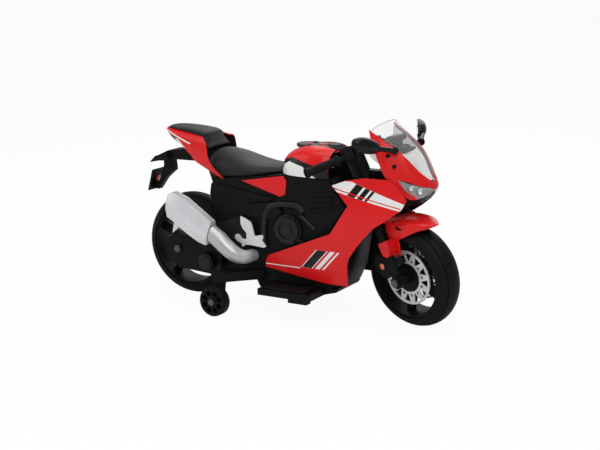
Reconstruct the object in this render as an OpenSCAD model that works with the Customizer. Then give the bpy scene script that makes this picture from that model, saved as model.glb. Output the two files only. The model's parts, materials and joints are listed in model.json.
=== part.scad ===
// Child's ride-on motorcycle with stabiliser wheels, built as an assembly.
// Millimetres. X points forward, Y to the left, Z up; the wheels stand on Z = 0.
// Lengths along X are measured from the rear axle. The last step moves the
// middle of the whole length to X = 0.

/* [Wheels] */
// outer diameter of the rear tyre
rear_tyre_d = 300; // [292:1:304]
// outer diameter of the front tyre
front_tyre_d = 288; // [280:1:292]
// width of both tyres
tyre_w = 88; // [80:1:90]
// height of the tyre between tread and rim
tyre_wall = 32; // [26:1:38]
// number of spokes in each rim
spoke_count = 5; // [4:1:8]
// diameter of the two wheel axles
axle_d = 12; // [10:0.5:14]
// outer diameter of a brake disc
disc_d = 152; // [140:1:160]
// diameter of a stabiliser wheel
stab_d = 84; // [78:1:90]
// width of a stabiliser wheel
stab_w = 32; // [26:1:36]
// width over the outer faces of the stabiliser wheels
stab_track = 412; // [400:1:424]

/* [Steering] */
// distance between the two axles with the wheel straight ahead
wheelbase = 708; // [704:1:712]
// angle of the steering axis from the vertical
rake = 26; // [25:0.5:27]
// right turn of the steering as the part is drawn
steer_rest = 18; // [0:1:20]
// distance between the fork legs
fork_spacing = 122; // [121:1:128]
// distance of the fork legs ahead of the steering axis
fork_offset = 28; // [26:1:30]
// distance from the front axle up to the upper yoke
fork_length = 385; // [382:1:390]
// diameter of the fork tubes
tube_d = 18; // [14:1:19]
// reach of each handlebar from its fork leg
bar_reach = 128; // [112:1:134]
// diameter of a grip
grip_d = 24; // [22:1:28]

/* [Body] */
// width over the black body halves
body_w = 156; // [150:1:158]
// width over the side fairings at their widest
fairing_w = 236; // [230:1:244]
// wall of the coloured panels
panel_t = 3; // [2:0.5:3.5]
// width of the tank cover
tank_w = 176; // [164:1:182]
// height of the steering head above the rims of the tank
tank_drop = 2; // [0:1:8]
// width of the seat at its widest
seat_w = 176; // [164:1:184]
// width of the tail cowl
tail_w = 162; // [162:1:168]

/* [Front] */
// height of the top edge of the windscreen
screen_top = 555; // [545:1:565]
// width over the outer ends of the mirrors
mirror_span = 406; // [396:1:418]

/* [Fits] */
// radial clearance of a turning fit
run_gap = 0.08; // [0.05:0.01:0.1]
// clearance between parts that sit on each other
part_gap = 0.1; // [0.05:0.05:0.2]
// clearance beside a part that moves
move_gap = 0.6; // [0.4:0.1:1]

/* [Hidden] */
$fn = 48;
rear_r = rear_tyre_d / 2;
front_r = front_tyre_d / 2;
rear_bead = rear_r - tyre_wall;
front_bead = front_r - tyre_wall;
axle_r = axle_d / 2;
tube_r = tube_d / 2;
leg_y = fork_spacing / 2;
leg_r = tube_r + 3;
body_y = body_w / 2;
spine_y = 2.5;
arm_in = 50;
arm_out = 62;
stab_out = stab_track / 2;
stab_in = stab_out - stab_w;
stab_x = 183;
mid_x = 348;
head = [
  wheelbase - fork_offset * cos(rake) - fork_length * sin(rake),
  0,
  front_r - fork_offset * sin(rake) + fork_length * cos(rake)
];
tank_base = 395 + part_gap;
tank_top = head[2] - tank_drop;
tank_floor = 0.868;
console_z = tank_base + (tank_top - tank_base) * tank_floor + part_gap;
front_lift = front_r - 144;
red = [0.85, 0.08, 0.06];
black = [0.09, 0.09, 0.1];
grey = [0.2, 0.2, 0.22];
silver = [0.78, 0.79, 0.8];
white = [0.93, 0.93, 0.93];
rubber = [0.06, 0.06, 0.06];
clear = [0.8, 0.85, 0.9];
amber = [0.85, 0.2, 0.08];
steel = [0.6, 0.61, 0.63];

// sum of a list of numbers
function total(v) = v * [for (x = v) 1];

// mean point of a ring
function middle(r) = [for (k = [0:2]) total([for (p = r) p[k]]) / len(r)];

// value between two others
function mix(a, b, t) = a + (b - a) * t;

// value at x on a line of [x, value] stations
function along(s, x, i = 0) =
  i >= len(s) - 2 || x <= s[i + 1][0]
  ? mix(s[i][1], s[i + 1][1], (x - s[i][0]) / (s[i + 1][0] - s[i][0]))
  : along(s, x, i + 1);

// vector of length one
function unit(v) = v / max(norm(v), 0.000001);

// normal of a grid of points at row i and column j
function grid_normal(g, i, j) =
  let (n = len(g) - 1, m = len(g[0]) - 1)
  unit(cross(
    g[min(i + 1, n)][j] - g[max(i - 1, 0)][j],
    g[i][min(j + 1, m)] - g[i][max(j - 1, 0)]
  ));

// grid moved along its normals by t
function offset_grid(g, t) =
  [for (i = [0:len(g) - 1]) [for (j = [0:len(g[0]) - 1]) g[i][j] + t * grid_normal(g, i, j)]];

// triangles listed the other way round
function turned(f) = [for (t = f) [t[2], t[1], t[0]]];

// six times the signed volume inside the triangles f over points p
function signed_volume(p, f) = total([for (t = f) p[t[0]] * cross(p[t[1]], p[t[2]])]);

// solid from triangles, turned so that they face outwards
module solid(p, f) {
  polyhedron(points = p, faces = signed_volume(p, f) > 0 ? turned(f) : f);
}

// two triangles for the four corners of a patch
function patch(a, b, c, d) = [[a, b, c], [a, c, d]];

// closed wall between two grids of points of the same size
module sheet(a, b) {
  n = len(a);
  m = len(a[0]);
  o = n * m;
  e = (n - 1) * m;
  p = concat([for (r = a) each r], [for (r = b) each r]);
  f = concat(
    [for (i = [0:n - 2], j = [0:m - 2])
      each patch(i * m + j, i * m + j + 1, (i + 1) * m + j + 1, (i + 1) * m + j)],
    [for (i = [0:n - 2], j = [0:m - 2])
      each patch(o + i * m + j, o + (i + 1) * m + j, o + (i + 1) * m + j + 1, o + i * m + j + 1)],
    [for (i = [0:n - 2]) each patch(i * m, (i + 1) * m, o + (i + 1) * m, o + i * m)],
    [for (i = [0:n - 2])
      each patch(i * m + m - 1, o + i * m + m - 1, o + (i + 1) * m + m - 1, (i + 1) * m + m - 1)],
    [for (j = [0:m - 2]) each patch(j, o + j, o + j + 1, j + 1)],
    [for (j = [0:m - 2]) each patch(e + j, e + j + 1, o + e + j + 1, o + e + j)]
  );
  solid(p, f);
}

// closed solid through a row of rings
module loft(r) {
  n = len(r);
  m = len(r[0]);
  p = concat([for (a = r) each a], [middle(r[0]), middle(r[n - 1])]);
  f = concat(
    [for (i = [0:n - 2], j = [0:m - 1])
      each patch(i * m + j, i * m + (j + 1) % m, (i + 1) * m + (j + 1) % m, (i + 1) * m + j)],
    [for (j = [0:m - 1]) [n * m, (j + 1) % m, j]],
    [for (j = [0:m - 1]) [n * m + 1, (n - 1) * m + j, (n - 1) * m + (j + 1) % m]]
  );
  solid(p, f);
}

// outline in X and Z drawn out from y0 to y1
module slab(y0, y1) {
  translate([0, y1, 0])
    rotate([90, 0, 0])
      linear_extrude(height = y1 - y0)
        children();
}

// round bar along Y at x, z
module rod_y(x, z, r, y0, y1) {
  translate([x, y1, z])
    rotate([90, 0, 0])
      cylinder(r = r, h = y1 - y0);
}

// block from one corner to the other
module block(a, b) {
  translate(a)
    cube(b - a);
}

// right-hand part, or its mirror image for the left
module side(s) {
  if (s == "left")
    mirror([0, 1, 0])
      children();
  else
    children();
}

// both a right-hand part and its mirror image
module pair() {
  children();
  mirror([0, 1, 0])
    children();
}

// frame of the steered parts: Z up the steering axis, origin at the upper yoke
module steered() {
  translate(head)
    rotate([0, -rake, 0])
      rotate([0, 0, -steer_rest])
        children();
}

// frame of the front axle inside the steered frame
module at_front_axle() {
  steered()
    translate([fork_offset, 0, -fork_length])
      children();
}

// tyre around the Y axis
module tyre(r, bead) {
  crown = tyre_w * 0.505;
  rotate([90, 0, 0])
    rotate_extrude($fn = 96)
      difference() {
        intersection() {
          translate([r - crown, 0])
            circle(r = crown);
          translate([r - 30, tyre_w / 2 - 60])
            circle(r = 60);
          translate([r - 30, 60 - tyre_w / 2])
            circle(r = 60);
          translate([bead + part_gap, -tyre_w])
            square([r, 2 * tyre_w]);
        }
        translate([r - tyre_w / 2, 0])
          circle(r = tyre_w / 2 - 8);
        for (s = [-1, 1])
          translate([r - 9, s * tyre_w * 0.27 - 1.5])
            square([20, 3]);
      }
}

// spoked rim around the Y axis with hub and bore
module rim(bead, hub_y) {
  rotate([90, 0, 0])
    difference() {
      union() {
        rotate_extrude($fn = 96)
          polygon([
            [bead - 7, -38], [bead, -38], [bead, 38], [bead - 7, 38],
            [bead - 10, 12], [bead - 10, -12]
          ]);
        cylinder(r = 44, h = 47.8, center = true);
        cylinder(r = 40, h = 57, center = true);
        cylinder(r = 15, h = 2 * hub_y, center = true);
        for (k = [0:spoke_count - 1])
          rotate([0, 0, 90 + k * 360 / spoke_count])
            linear_extrude(height = 18, center = true)
              polygon([[38, -14], [bead - 8, -9], [bead - 8, 9], [38, 14]]);
      }
      cylinder(r = axle_r + run_gap, h = 200, center = true);
    }
}

// rear wheel
module rear_tyre() {
  color(rubber)
    translate([0, 0, rear_r])
      tyre(rear_r, rear_bead);
}

module rear_rim() {
  color(black)
    translate([0, 0, rear_r])
      rim(rear_bead, 46);
}

// toothed dog that carries the drive from the gearbox to the rim
module drive_dog() {
  color(white)
    difference() {
      rod_y(0, rear_r, 22, -74, -46 - part_gap);
      rod_y(0, rear_r, axle_r + run_gap, -80, -40);
      for (k = [0:9])
        translate([0, -68, rear_r])
          rotate([0, k * 36, 0])
            translate([18, -10, -2.5])
              cube([8, 14, 5]);
    }
}

// hexagon nut with a bore around Y
module nut(x, z, y0, y1) {
  difference() {
    translate([x, y1, z])
      rotate([90, 0, 0])
        cylinder(r = axle_r + 5, h = y1 - y0, $fn = 6);
    rod_y(x, z, axle_r + run_gap / 2, y0 - 1, y1 + 1);
  }
}

// rear axle with a nut at each end
module rear_axle() {
  color(steel) {
    rod_y(0, rear_r, axle_r, -103, 75);
    nut(0, rear_r, -101, -92 - part_gap);
    nut(0, rear_r, arm_out + part_gap, 72);
  }
}

// fork arm beside the rear wheel
module rear_fork(bore) {
  color(black)
    difference() {
      union() {
        slab(-arm_out, -arm_in - part_gap)
          polygon([[0, rear_r + 28], [120, 198], [228, 205], [228, 98], [120, 102], [0, rear_r - 28]]);
        rod_y(0, rear_r, 30, -arm_out, -arm_in - part_gap);
      }
      rod_y(0, rear_r, bore, -80, -30);
    }
}

module rear_fork_right() {
  rear_fork(26);
}

module rear_fork_left() {
  side("left")
    rear_fork(axle_r + run_gap);
}

// gearbox on the right arm
module gearbox_housing() {
  color(black)
    difference() {
      slab(-92, -arm_out - part_gap)
        polygon([
          [-44, 150], [-34, 178], [-14, 192], [108, 184], [142, 166], [146, 140],
          [118, 86], [0, 94], [-34, 114]
        ]);
      rod_y(0, rear_r, 26, -76, -50);
      rod_y(0, rear_r, axle_r + run_gap, -100, -50);
      rod_y(101, 125, 24 + part_gap, -100, -70 - part_gap);
    }
}

module motor() {
  color(grey)
    union() {
      rod_y(101, 125, 24, -110, -70 - 2 * part_gap);
      rod_y(101, 125, 19, -114, -109);
    }
}

// arm of a stabiliser wheel, bolted to the body side
module stabiliser_arm() {
  foot = stab_in - move_gap - 12;
  color(black)
    difference() {
      union() {
        translate([0, 0, 94])
          linear_extrude(height = 24)
            polygon([
              [238, -body_y - part_gap], [284, -body_y - part_gap], [284, -body_y - 10],
              [206, -foot - 12], [stab_x - 18, -foot - 12], [stab_x - 18, -foot], [212, -106]
            ]);
        slab(-foot - 12, -foot)
          polygon([
            [stab_x - 18, 118], [206, 118], [stab_x + 15, stab_d / 2],
            [stab_x + 8, stab_d / 2 - 13], [stab_x - 8, stab_d / 2 - 13], [stab_x - 15, stab_d / 2]
          ]);
      }
      rod_y(stab_x, stab_d / 2, 5 + run_gap / 2, -stab_out, 0);
    }
}

module stabiliser_arm_right() {
  stabiliser_arm();
}

module stabiliser_arm_left() {
  side("left")
    stabiliser_arm();
}

module stabiliser_bolts() {
  foot = stab_in - move_gap - 12;
  color(steel)
    pair()
      union() {
        rod_y(stab_x, stab_d / 2, 5, -stab_out - 3, -foot + 4);
        rod_y(stab_x, stab_d / 2, 9, -stab_out - 5, -stab_out - move_gap);
      }
}

// stabiliser wheel with eight pockets in its outer face
module stabiliser_wheel() {
  r = stab_d / 2;
  color(black)
    difference() {
      union() {
        rod_y(stab_x, r, r, -stab_out + 4, -stab_in - 4);
        rod_y(stab_x, r, r - 3, -stab_out, -stab_in);
      }
      rod_y(stab_x, r, 5 + run_gap, -stab_out - 5, -stab_in + 5);
      for (k = [0:7])
        translate([stab_x, -stab_out + 12, r])
          rotate([0, k * 45 + 22, 0])
            translate([(r + 8) / 2, 0, 0])
              rotate([90, 0, 0])
                cylinder(r = 8, h = 20, $fn = 24);
    }
}

module stabiliser_wheel_right() {
  stabiliser_wheel();
}

module stabiliser_wheel_left() {
  side("left")
    stabiliser_wheel();
}

// outline of the black body in X and Z
body_line = [
  [104, 346], [118, 362], [345, 395], [500, 395], [530, 360], [546, 330], [555, 280], [551, 245],
  [543, 200], [535, 145], [515, 100], [505, 90], [236, 90], [150, 96], [140, 200], [100, 318]
];

// space that holds the battery
battery_size = [92, 70, 101];
battery_at = [345, -35, 112];

// welded frame: centre plate, head tube and the stay for the nose
module frame_spine() {
  color(grey)
    difference() {
      union() {
        slab(-spine_y, spine_y)
          difference() {
            polygon([
              [140, 355], [345, 385], [430, 385], [head[0] - 42, head[2] - 46],
              [head[0] - 10, head[2] - 32], [head[0] + 24, head[2] - 90],
              [530, 352], [540, 300], [536, 235], [520, 150], [500, 104], [240, 104],
              [172, 112], [168, 200], [125, 300]
            ]);
            translate([0, rear_r])
              circle(r = rear_r + 14);
            polygon([[158, 336], [330, 361], [330, 124], [196, 130], [190, 210], [150, 300]]);
            polygon([
              [350, 360], [504, 360], [508, 346], [518, 300],
              [514, 238], [500, 164], [484, 124], [350, 124]
            ]);
          }
        translate(head)
          rotate([0, -rake, 0])
            translate([0, 0, -106 + move_gap])
              cylinder(r = tube_r + 10, h = 94 - 2 * move_gap);
        slab(-13, 13)
          polygon([
            [head[0] + 38, head[2] - 74], [648, 404 + front_lift],
            [648, 418 + front_lift], [head[0] + 38, head[2] - 60]
          ]);
        block([640, -56, 404 + front_lift], [692, 56, 416 + front_lift]);
      }
      translate(head)
        rotate([0, -rake, 0])
          translate([0, 0, -120])
            cylinder(r = 9 + run_gap, h = 140);
      block(battery_at - [1, 1, 0], battery_at + battery_size + [1, 1, 1]);
      block([440, -30, 300], [500, 30, 350]);
    }
}

// hollow inside a body half with shelves for the battery and the control unit
module body_hollow() {
  difference() {
    union() {
      slab(-body_y + 4, 0)
        polygon([
          [238, 98], [486, 98], [510, 150], [518, 200], [526, 245], [528, 285], [520, 326],
          [512, 352], [490, 385], [346, 385], [238, 370]
        ]);
      slab(-arm_in + 4, 0)
        difference() {
          polygon([[236, 98], [150, 102], [146, 200], [112, 320], [124, 352], [240, 370]]);
          translate([0, rear_r])
            circle(r = rear_r + 17);
        }
      slab(-body_y + 4, 0)
        difference() {
          polygon([[238, 214], [154, 214], [120, 318], [130, 350], [238, 366]]);
          translate([0, rear_r])
            circle(r = rear_r + 17);
        }
    }
    block([338, -100, 104], [444, 0, battery_at[2]]);
    block([436, -100, 292], [504, 0, 300]);
  }
}

// half of the black body with engine relief on its outer face
module body_half() {
  color(black)
    difference() {
      union() {
        slab(-body_y, -spine_y - part_gap)
          difference() {
            polygon(body_line);
            translate([0, rear_r])
              circle(r = rear_r + 12);
          }
        slab(-body_y - 5, -body_y + 1)
          polygon([[358, 392], [482, 392], [530, 322], [486, 254], [428, 232], [408, 290], [370, 338]]);
        slab(-body_y - 6, -body_y + 1)
          polygon([[114, 346], [138, 347], [288, 329], [312, 331], [290, 314], [118, 325]]);
        slab(-body_y - 9, -body_y + 1)
          polygon([[152, 258], [164, 266], [206, 266], [214, 214], [176, 214]]);
        rod_y(403, 211, 11, -body_y - 16, -body_y + 1);
        for (k = [0:3])
          slab(-body_y - 9, -body_y + 1)
            polygon([
              [424 + k * 4, 300 + k * 15], [488 + k * 4, 311 + k * 15],
              [488 + k * 4, 318 + k * 15], [424 + k * 4, 307 + k * 15]
            ]);
        slab(-body_y - 9, -body_y + 1)
          polygon([[222, 300], [318, 318], [338, 290], [318, 268], [240, 268], [214, 282]]);
      }
      block([0, -body_y - 2, 90], [232, -arm_in, 208]);
      slab(-body_y - 2, -46.4)
        polygon([
          [530, 331], [538, 280], [534, 245], [526, 200], [518, 145], [498, 100], [488, 88],
          [600, 88], [600, 331]
        ]);
      body_hollow();
    }
}

module body_half_right() {
  body_half();
}

module body_half_left() {
  side("left")
    body_half();
}

// round engine cover with a raised ring and six bolt heads
module engine_cover() {
  y = -body_y - part_gap;
  color(grey)
    union() {
      rod_y(357, 243, 42, y - 8, y);
      difference() {
        rod_y(357, 243, 36, y - 15, y - 7);
        rod_y(357, 243, 26, y - 16, y - 11);
      }
      rod_y(357, 243, 14, y - 14, y - 10);
      for (k = [0:5])
        rod_y(357 + 39 * cos(k * 60), 243 + 39 * sin(k * 60), 4, y - 11, y - 7);
    }
}

module engine_covers() {
  pair()
    engine_cover();
}

module battery() {
  color(grey)
    union() {
      block(battery_at, battery_at + battery_size - [0, 0, 6]);
      block(battery_at + [10, 12, 90], battery_at + [20, 22, 101]);
      block(battery_at + [72, 12, 90], battery_at + [82, 22, 101]);
    }
}

module control_unit() {
  color(grey)
    block([442, -28, 300 + part_gap], [498, 28, 344]);
}

// shallow pan under the body
module belly_pan() {
  color(black)
    difference() {
      slab(-70, 70)
        polygon([[244, 90 - part_gap], [506, 90 - part_gap], [500, 78], [450, 64], [258, 64]]);
      slab(-64, 64)
        polygon([[262, 92], [490, 92], [484, 82], [446, 70], [266, 70]]);
    }
}

// footboard beside the belly pan
module footboard(recess) {
  color(black)
    difference() {
      union() {
        block([302, -158, 68], [464, -70 - part_gap, 86]);
        block([398, -158, 58], [456, -134, 69]);
      }
      if (recess)
        block([316, -154, 72], [450, -96, 90]);
      if (recess)
        rod_y(322, 84, 3.5 + run_gap, -160, -90);
    }
}

module footboard_right() {
  footboard(true);
}

module footboard_left() {
  side("left")
    union() {
      footboard(false);
      color(black)
        for (k = [0:6])
          block([322 + k * 18, -150, 85], [330 + k * 18, -100, 89]);
    }
}

// pedal plate with its hinge pin at the rear edge
module foot_pedal() {
  color(grey)
    union() {
      block([322, -153, 86 + move_gap], [448, -97, 93]);
      block([320, -153, 82], [330, -97, 90]);
      rod_y(322, 84, 3.5, -157.5, -92.5);
      for (k = [0:5])
        block([336 + k * 18, -150, 92], [344 + k * 18, -100, 95]);
    }
}

// distance of the fairing from the middle plane at x, z
function fairing_y(x, z) =
  fairing_w / 2
  - (x > 540 ? 26 * pow((x - 540) / 200, 2) : 14 * pow((540 - x) / 250, 2))
  - 24 * pow((z - 290) / 180, 2);

// black cover behind the front wheel, with wings that run back to the fairings
module radiator_cover() {
  rows = [[96, 511.1], [100, 515], [145, 535], [200, 543], [245, 551], [278, 554.9]];
  g = [for (r = rows)
    let (x = r[1] + 3 + part_gap, w = fairing_y(530, r[0]) - panel_t - 4, back = x - (w - 47) * 0.46)
    [[back, -w, r[0]], [x, -47, r[0]], [x, 0, r[0]], [x, 47, r[0]], [back, w, r[0]]]
  ];
  color(black)
    sheet(g, [for (r = g) [for (p = r) p - [3, 0, 0]]]);
}

// rows of the fairing: height, rear edge, front edge
fairing_rows = [
  [108, 480, 546], [118, 392, 548], [130, 286, 550], [150, 290, 551], [166, 300, 552],
  [190, 356, 558], [216, 418, 576], [234, 458, 590], [253, 504, 606], [282, 523, 632],
  [312, 542, 676], [336, 557, 706], [362, 532, 718], [386, 507, 702], [403, 550, 684],
  [413, 600, 668]
];

// large coloured panel beside the engine with bosses to the body
module side_fairing() {
  n = 9;
  g = [for (r = fairing_rows) [for (j = [0:n])
    let (x = mix(r[1], r[2], j / n)) [x, -fairing_y(x, r[0]), r[0]]
  ]];
  color(red)
    union() {
      sheet(g, offset_grid(g, panel_t));
      for (p = [[330, 142], [470, 142], [515, 262], [512, 380]])
        rod_y(p[0], p[1], 7, -fairing_y(p[0], p[1]) + 1, -body_y - part_gap);
    }
}

module side_fairing_right() {
  side_fairing();
}

module side_fairing_left() {
  side("left")
    side_fairing();
}

// upper edge of the nose from its tip to the rear: share, x, half width, z
nose_top = [
  [0, 756, 0, 401], [0.16, 748, 20, 411], [0.33, 730, 41, 432], [0.52, 707, 57, 461],
  [0.72, 680, 68, 487], [0.9, 634, 76, 517], [1, 598, 77.5, 539]
];

// lower edge of the nose from its tip to the rear
nose_low = [
  [0, 758, 0, 378], [0.16, 754, 24, 370], [0.33, 742, 47, 363], [0.52, 722, 66, 360],
  [0.72, 704, 80, 370], [0.9, 676, 90, 396], [1, 652, 89, 418]
];

// point of the nose at share s from the tip and share v above the lower edge
function nose_point(a, b, v, sg) =
  let (k = 4 * v * (1 - v))
  [
    mix(a[1], b[1], v) + (b[0] < 0.6 ? 5 : -2) * k,
    sg * (mix(a[2], b[2], v) + (b[0] > 0.1 ? 5 * k : 0)),
    mix(a[3], b[3], v)
  ];

function nose_grid(n) =
  [for (i = [0:n]) concat(
    [for (j = [6:-1:0]) nose_point(nose_low[j], nose_top[j], i / n, -1)],
    [for (j = [1:6]) nose_point(nose_low[j], nose_top[j], i / n, 1)]
  )];

// shell of the nose before the headlights are cut
module nose_shell() {
  g = nose_grid(5);
  sheet(g, offset_grid(g, panel_t));
}

// outline of a headlight in X and Z
headlight_line = [
  [687, 414], [716, 405], [742, 394], [758, 389], [764, 374], [756, 350], [738, 350], [729, 367], [705, 387]
];
headlight_y = 6;

// pieces that stand on the nose's stay and rise with a larger front wheel
module with_nose() {
  translate([0, 0, front_lift])
    children();
}

module nose_fairing() {
  color(red)
    with_nose()
      union() {
        difference() {
          nose_shell();
          pair()
            slab(-100, -headlight_y)
              polygon(headlight_line);
        }
        pair()
          rod_y(668, 410, 5, -86.5, -56 - part_gap);
      }
}

module headlight_lenses() {
  color(clear)
    with_nose()
      intersection() {
        nose_shell();
        pair()
          slab(-100, -headlight_y - 0.4)
            offset(delta = -0.4)
              polygon(headlight_line);
      }
}

// clear screen behind the upper edge of the nose
screen_rim = [
  [747, 15, 408], [725, 36, 429], [703, 52, 457], [676, 63, 482], [632, 71.5, 512], [600, 73, 533]
];
screen_ridge = [
  [752, 410], [748, 436], [724, 470], [690, 502], [650, 534], [623, 555]
];

module windscreen() {
  n = 10;
  lift = screen_top - 555;
  g = [for (i = [0:5]) [for (j = [0:n])
    let (a = j * 180 / n, s = screen_rim[i], r = screen_ridge[i])
    [
      mix(s[0], r[0], sin(a)),
      -s[1] * cos(a),
      mix(s[2], r[1] + lift * i / 5, sin(a))
    ]
  ]];
  color(clear)
    with_nose()
      sheet(g, offset_grid(g, 2));
}

// black lip under the nose
module nose_chin() {
  rows = [[0, 0.6], [8, 6], [20, 16], [26, 40]];
  g = [for (r = rows) [for (k = [[-1, 4], [-1, 3], [-1, 2], [-1, 1], [1, 0], [1, 1], [1, 2], [1, 3], [1, 4]])
    let (p = nose_low[k[1]])
    [p[1] - 3 - r[1], k[0] * max(p[2] - 2 - r[1] * 0.15, 0), p[3] - 1 - r[0]]
  ]];
  color(black)
    with_nose()
      sheet(g, offset_grid(g, -2.5));
}

// dash with two gauges above the front stay
module dash_panel() {
  color(black)
    with_nose()
      union() {
        block([632, -54, 474], [676, 54, 480]);
        pair()
          translate([660, -30, 416 + part_gap])
            cylinder(r = 5, h = 60);
        translate([652, 0, 479])
          cylinder(r = 22, h = 6);
        pair()
          translate([652, -38, 479])
            cylinder(r = 12, h = 5);
      }
}

// axis and middle of a mirror housing
mirror_axis = unit([-40, -81, 26]);

// frame of a mirror: X out along the housing, Y to the rear, Z down
module at_mirror() {
  u = mirror_axis;
  b = unit(cross(u, [0, 0, 1]));
  c = cross(u, b);
  o = [633, 41 - mirror_span / 2, 511];
  multmatrix([
    [u[0], b[0], c[0], o[0]], [u[1], b[1], c[1], o[1]], [u[2], b[2], c[2], o[2]], [0, 0, 0, 1]
  ])
    children();
}

// housing with a stalk down to the nose
module mirror_housing() {
  at = [-46, -42, -30, -10, 14, 32, 42, 46];
  color(black)
    union() {
      at_mirror()
        loft([for (a = at)
          let (s = pow(max(1 - pow(a / 47, 2), 0.02), 0.5))
          [for (k = [0:11])
            let (t = k * 30)
            [a, cos(t) > 0 ? 3 : 22 * cos(t) * s, 21 * sin(t) * s]
          ]
        ]);
      stalk([678, -80, 489], [656, 41 - mirror_span / 2 + 26, 501], 7);
      stalk([678.6, -78.4, 488.4], [675, -86, 492], 11);
    }
}

// round bar between two points
module stalk(a, b, r) {
  d = b - a;
  translate(a)
    rotate([0, acos(d[2] / norm(d)), atan2(d[1], d[0])])
      cylinder(r = r, h = norm(d), $fn = 24);
}

module mirror_housings() {
  with_nose()
    pair()
      mirror_housing();
}

module mirror_glasses() {
  color(silver)
    with_nose()
      pair()
        at_mirror()
          translate([0, 3 + part_gap, 0])
            rotate([-90, 0, 0])
              linear_extrude(height = 1.5)
                polygon([for (k = [0:23]) [41 * cos(k * 15), 17 * sin(k * 15)]]);
}

// rows of the tank: x, half width share, height share of its rims, share of its channel's floor
tank_rows = [
  [324, 0.62, 0.34, 1], [334, 0.74, 0.64, 1], [352, 0.88, 0.8, 1], [372, 0.95, 0.9, 0.95],
  [392, 0.98, 0.965, 0.89], [424, 1, 1, tank_floor], [455, 0.95, 0.985, 0.875], [478, 0.86, 0.9, 0.93]
];

// domed cover on the body with a channel for the console
module tank_cover() {
  across = [
    [-1, 0], [-1.02, 0.3], [-0.98, 0.58], [-0.88, 0.8], [-0.7, 0.92], [-0.52, 0.985], [-0.455, 1]
  ];
  g = [for (r = tank_rows)
    let (
      half = concat(across, [[-0.45, r[3]], [0, r[3]]]),
      w = tank_w / 2 * r[1],
      h = (tank_top - tank_base) * r[2]
    )
    [for (k = [0:16])
      let (q = half[k < 9 ? k : 16 - k])
      [r[0], (k < 9 ? 1 : -1) * q[0] * w, tank_base + q[1] * h]
    ]
  ];
  low = [for (r = offset_grid(g, -panel_t)) [for (p = r) [p[0], p[1], max(tank_base, p[2])]]];
  color(red)
    sheet(g, low);
}

// control console on the tank
module tank_console() {
  base = console_z;
  color(grey)
    difference() {
      union() {
        translate([0, 0, base])
          linear_extrude(height = 9)
            polygon([
              [346, -14], [360, -28], [372, -33], [440, -37], [476, -24],
              [476, 24], [440, 37], [372, 33], [360, 28], [346, 14]
            ]);
        block([446, -17, base + 8], [474, 17, base + 13]);
      }
      for (s = [-1, 1])
        translate([388, s * 18, base + 4])
          cylinder(r = 7.5, h = 10);
      block([412, -11, base + 3], [436, 11, base + 12]);
      translate([424, 0, base + 6])
        rotate([90, 0, 0])
          cylinder(r = 2 + run_gap, h = 30, center = true);
    }
}

// press button in the console
module console_button(s) {
  color(red)
    translate([388, s * 18, console_z + 6])
      cylinder(r = 7, h = 6);
}

module horn_button() {
  console_button(-1);
}

module music_button() {
  console_button(1);
}

// rocker on a cross pin in the console
module power_rocker() {
  color(black)
    translate([424, 0, console_z + 6])
      union() {
        rotate([90, 0, 0])
          cylinder(r = 2, h = 28, center = true);
        translate([0, 10, 0])
          rotate([90, 0, 0])
            linear_extrude(height = 20)
              polygon([[-10, 0.6], [0, -1.5], [10, 0.6], [10, 5], [0, 4], [-10, 5]]);
      }
}

// line that the seat rests on, raised under its rear end
function seat_base(x) = 362 + part_gap + (x - 118) * 33 / 227 + max(0, 99 - x) * 2.5;

// rows of the seat: x, half width share, top
seat_rows = [
  [82, 0.78, 424], [92, 0.84, 436.5], [106, 0.87, 440.5], [128, 0.875, 441], [158, 0.93, 435.5],
  [186, 0.98, 426], [212, 1, 417.5], [246, 0.93, 411], [288, 0.74, 408], [318, 0.58, 410], [330, 0.5, 409]
];

// half width of a seat row, which stays inside the tail cowl
function seat_half(r) = min(seat_w / 2 * r[1], tail_w / 2 - 9 + pow(max(0, r[0] - 118), 2) / 150);

// seat with crowned top and rolled sides
module seat() {
  across = [
    [-0.94, 0], [-1, 0.22], [-0.98, 0.46], [-0.84, 0.7], [-0.5, 0.9], [0, 1],
    [0.5, 0.9], [0.84, 0.7], [0.98, 0.46], [1, 0.22], [0.94, 0]
  ];
  color(black)
    loft([for (r = seat_rows) [for (q = across)
      [r[0], q[0] * seat_half(r), mix(seat_base(r[0]), r[2], q[1])]
    ]]);
}

// height of the deck under the pillion pad
deck_line = [[-76, 489.5], [-40, 487], [10, 481.5], [60, 474], [97, 466]];

// rows of the pillion pad: x, half width, underside, top
pad_rows = [
  [-74, 25, 489.9, 492.3], [-60, 34, 488.9, 494], [-30, 42, 486.5, 495], [10, 47, 482, 494],
  [36, 49.5, 478.1, 492], [48, 50.5, 476.2, 490.5], [57, 51, 474.7, 488], [64.8, 51, 473.5, 483],
  [66.6, 50.5, 458, 481.5], [71, 51, 450.5, 474], [77, 52, 445.5, 462], [83, 52, 442.5, 450],
  [87, 50, 441.5, 445]
];

// pad on the tail cowl that rolls down to the seat
module pillion_pad() {
  across = [
    [-0.97, 0], [-1, 0.3], [-0.92, 0.6], [-0.6, 0.88], [0, 1],
    [0.6, 0.88], [0.92, 0.6], [1, 0.3], [0.97, 0]
  ];
  color(black)
    loft([for (r = pad_rows) [for (q = across)
      [r[0], q[0] * r[1], mix(r[2], r[3], q[1])]
    ]]);
}

// cowl of the tail: x, bottom, shoulder drop, half width share, how far the deck stops short,
// how far the lower edge runs ahead
tail_rows = [
  [-73, 481.5, 3, 0.46, 0, 0], [-45, 463, 5, 0.62, 0, 0], [-10, 447, 7, 0.76, 0, 0],
  [30, 420, 8, 0.87, 0, 0], [52, 402.5, 9, 0.915, 0, 0], [97, 364, 14, 1, 33, 49]
];

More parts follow.
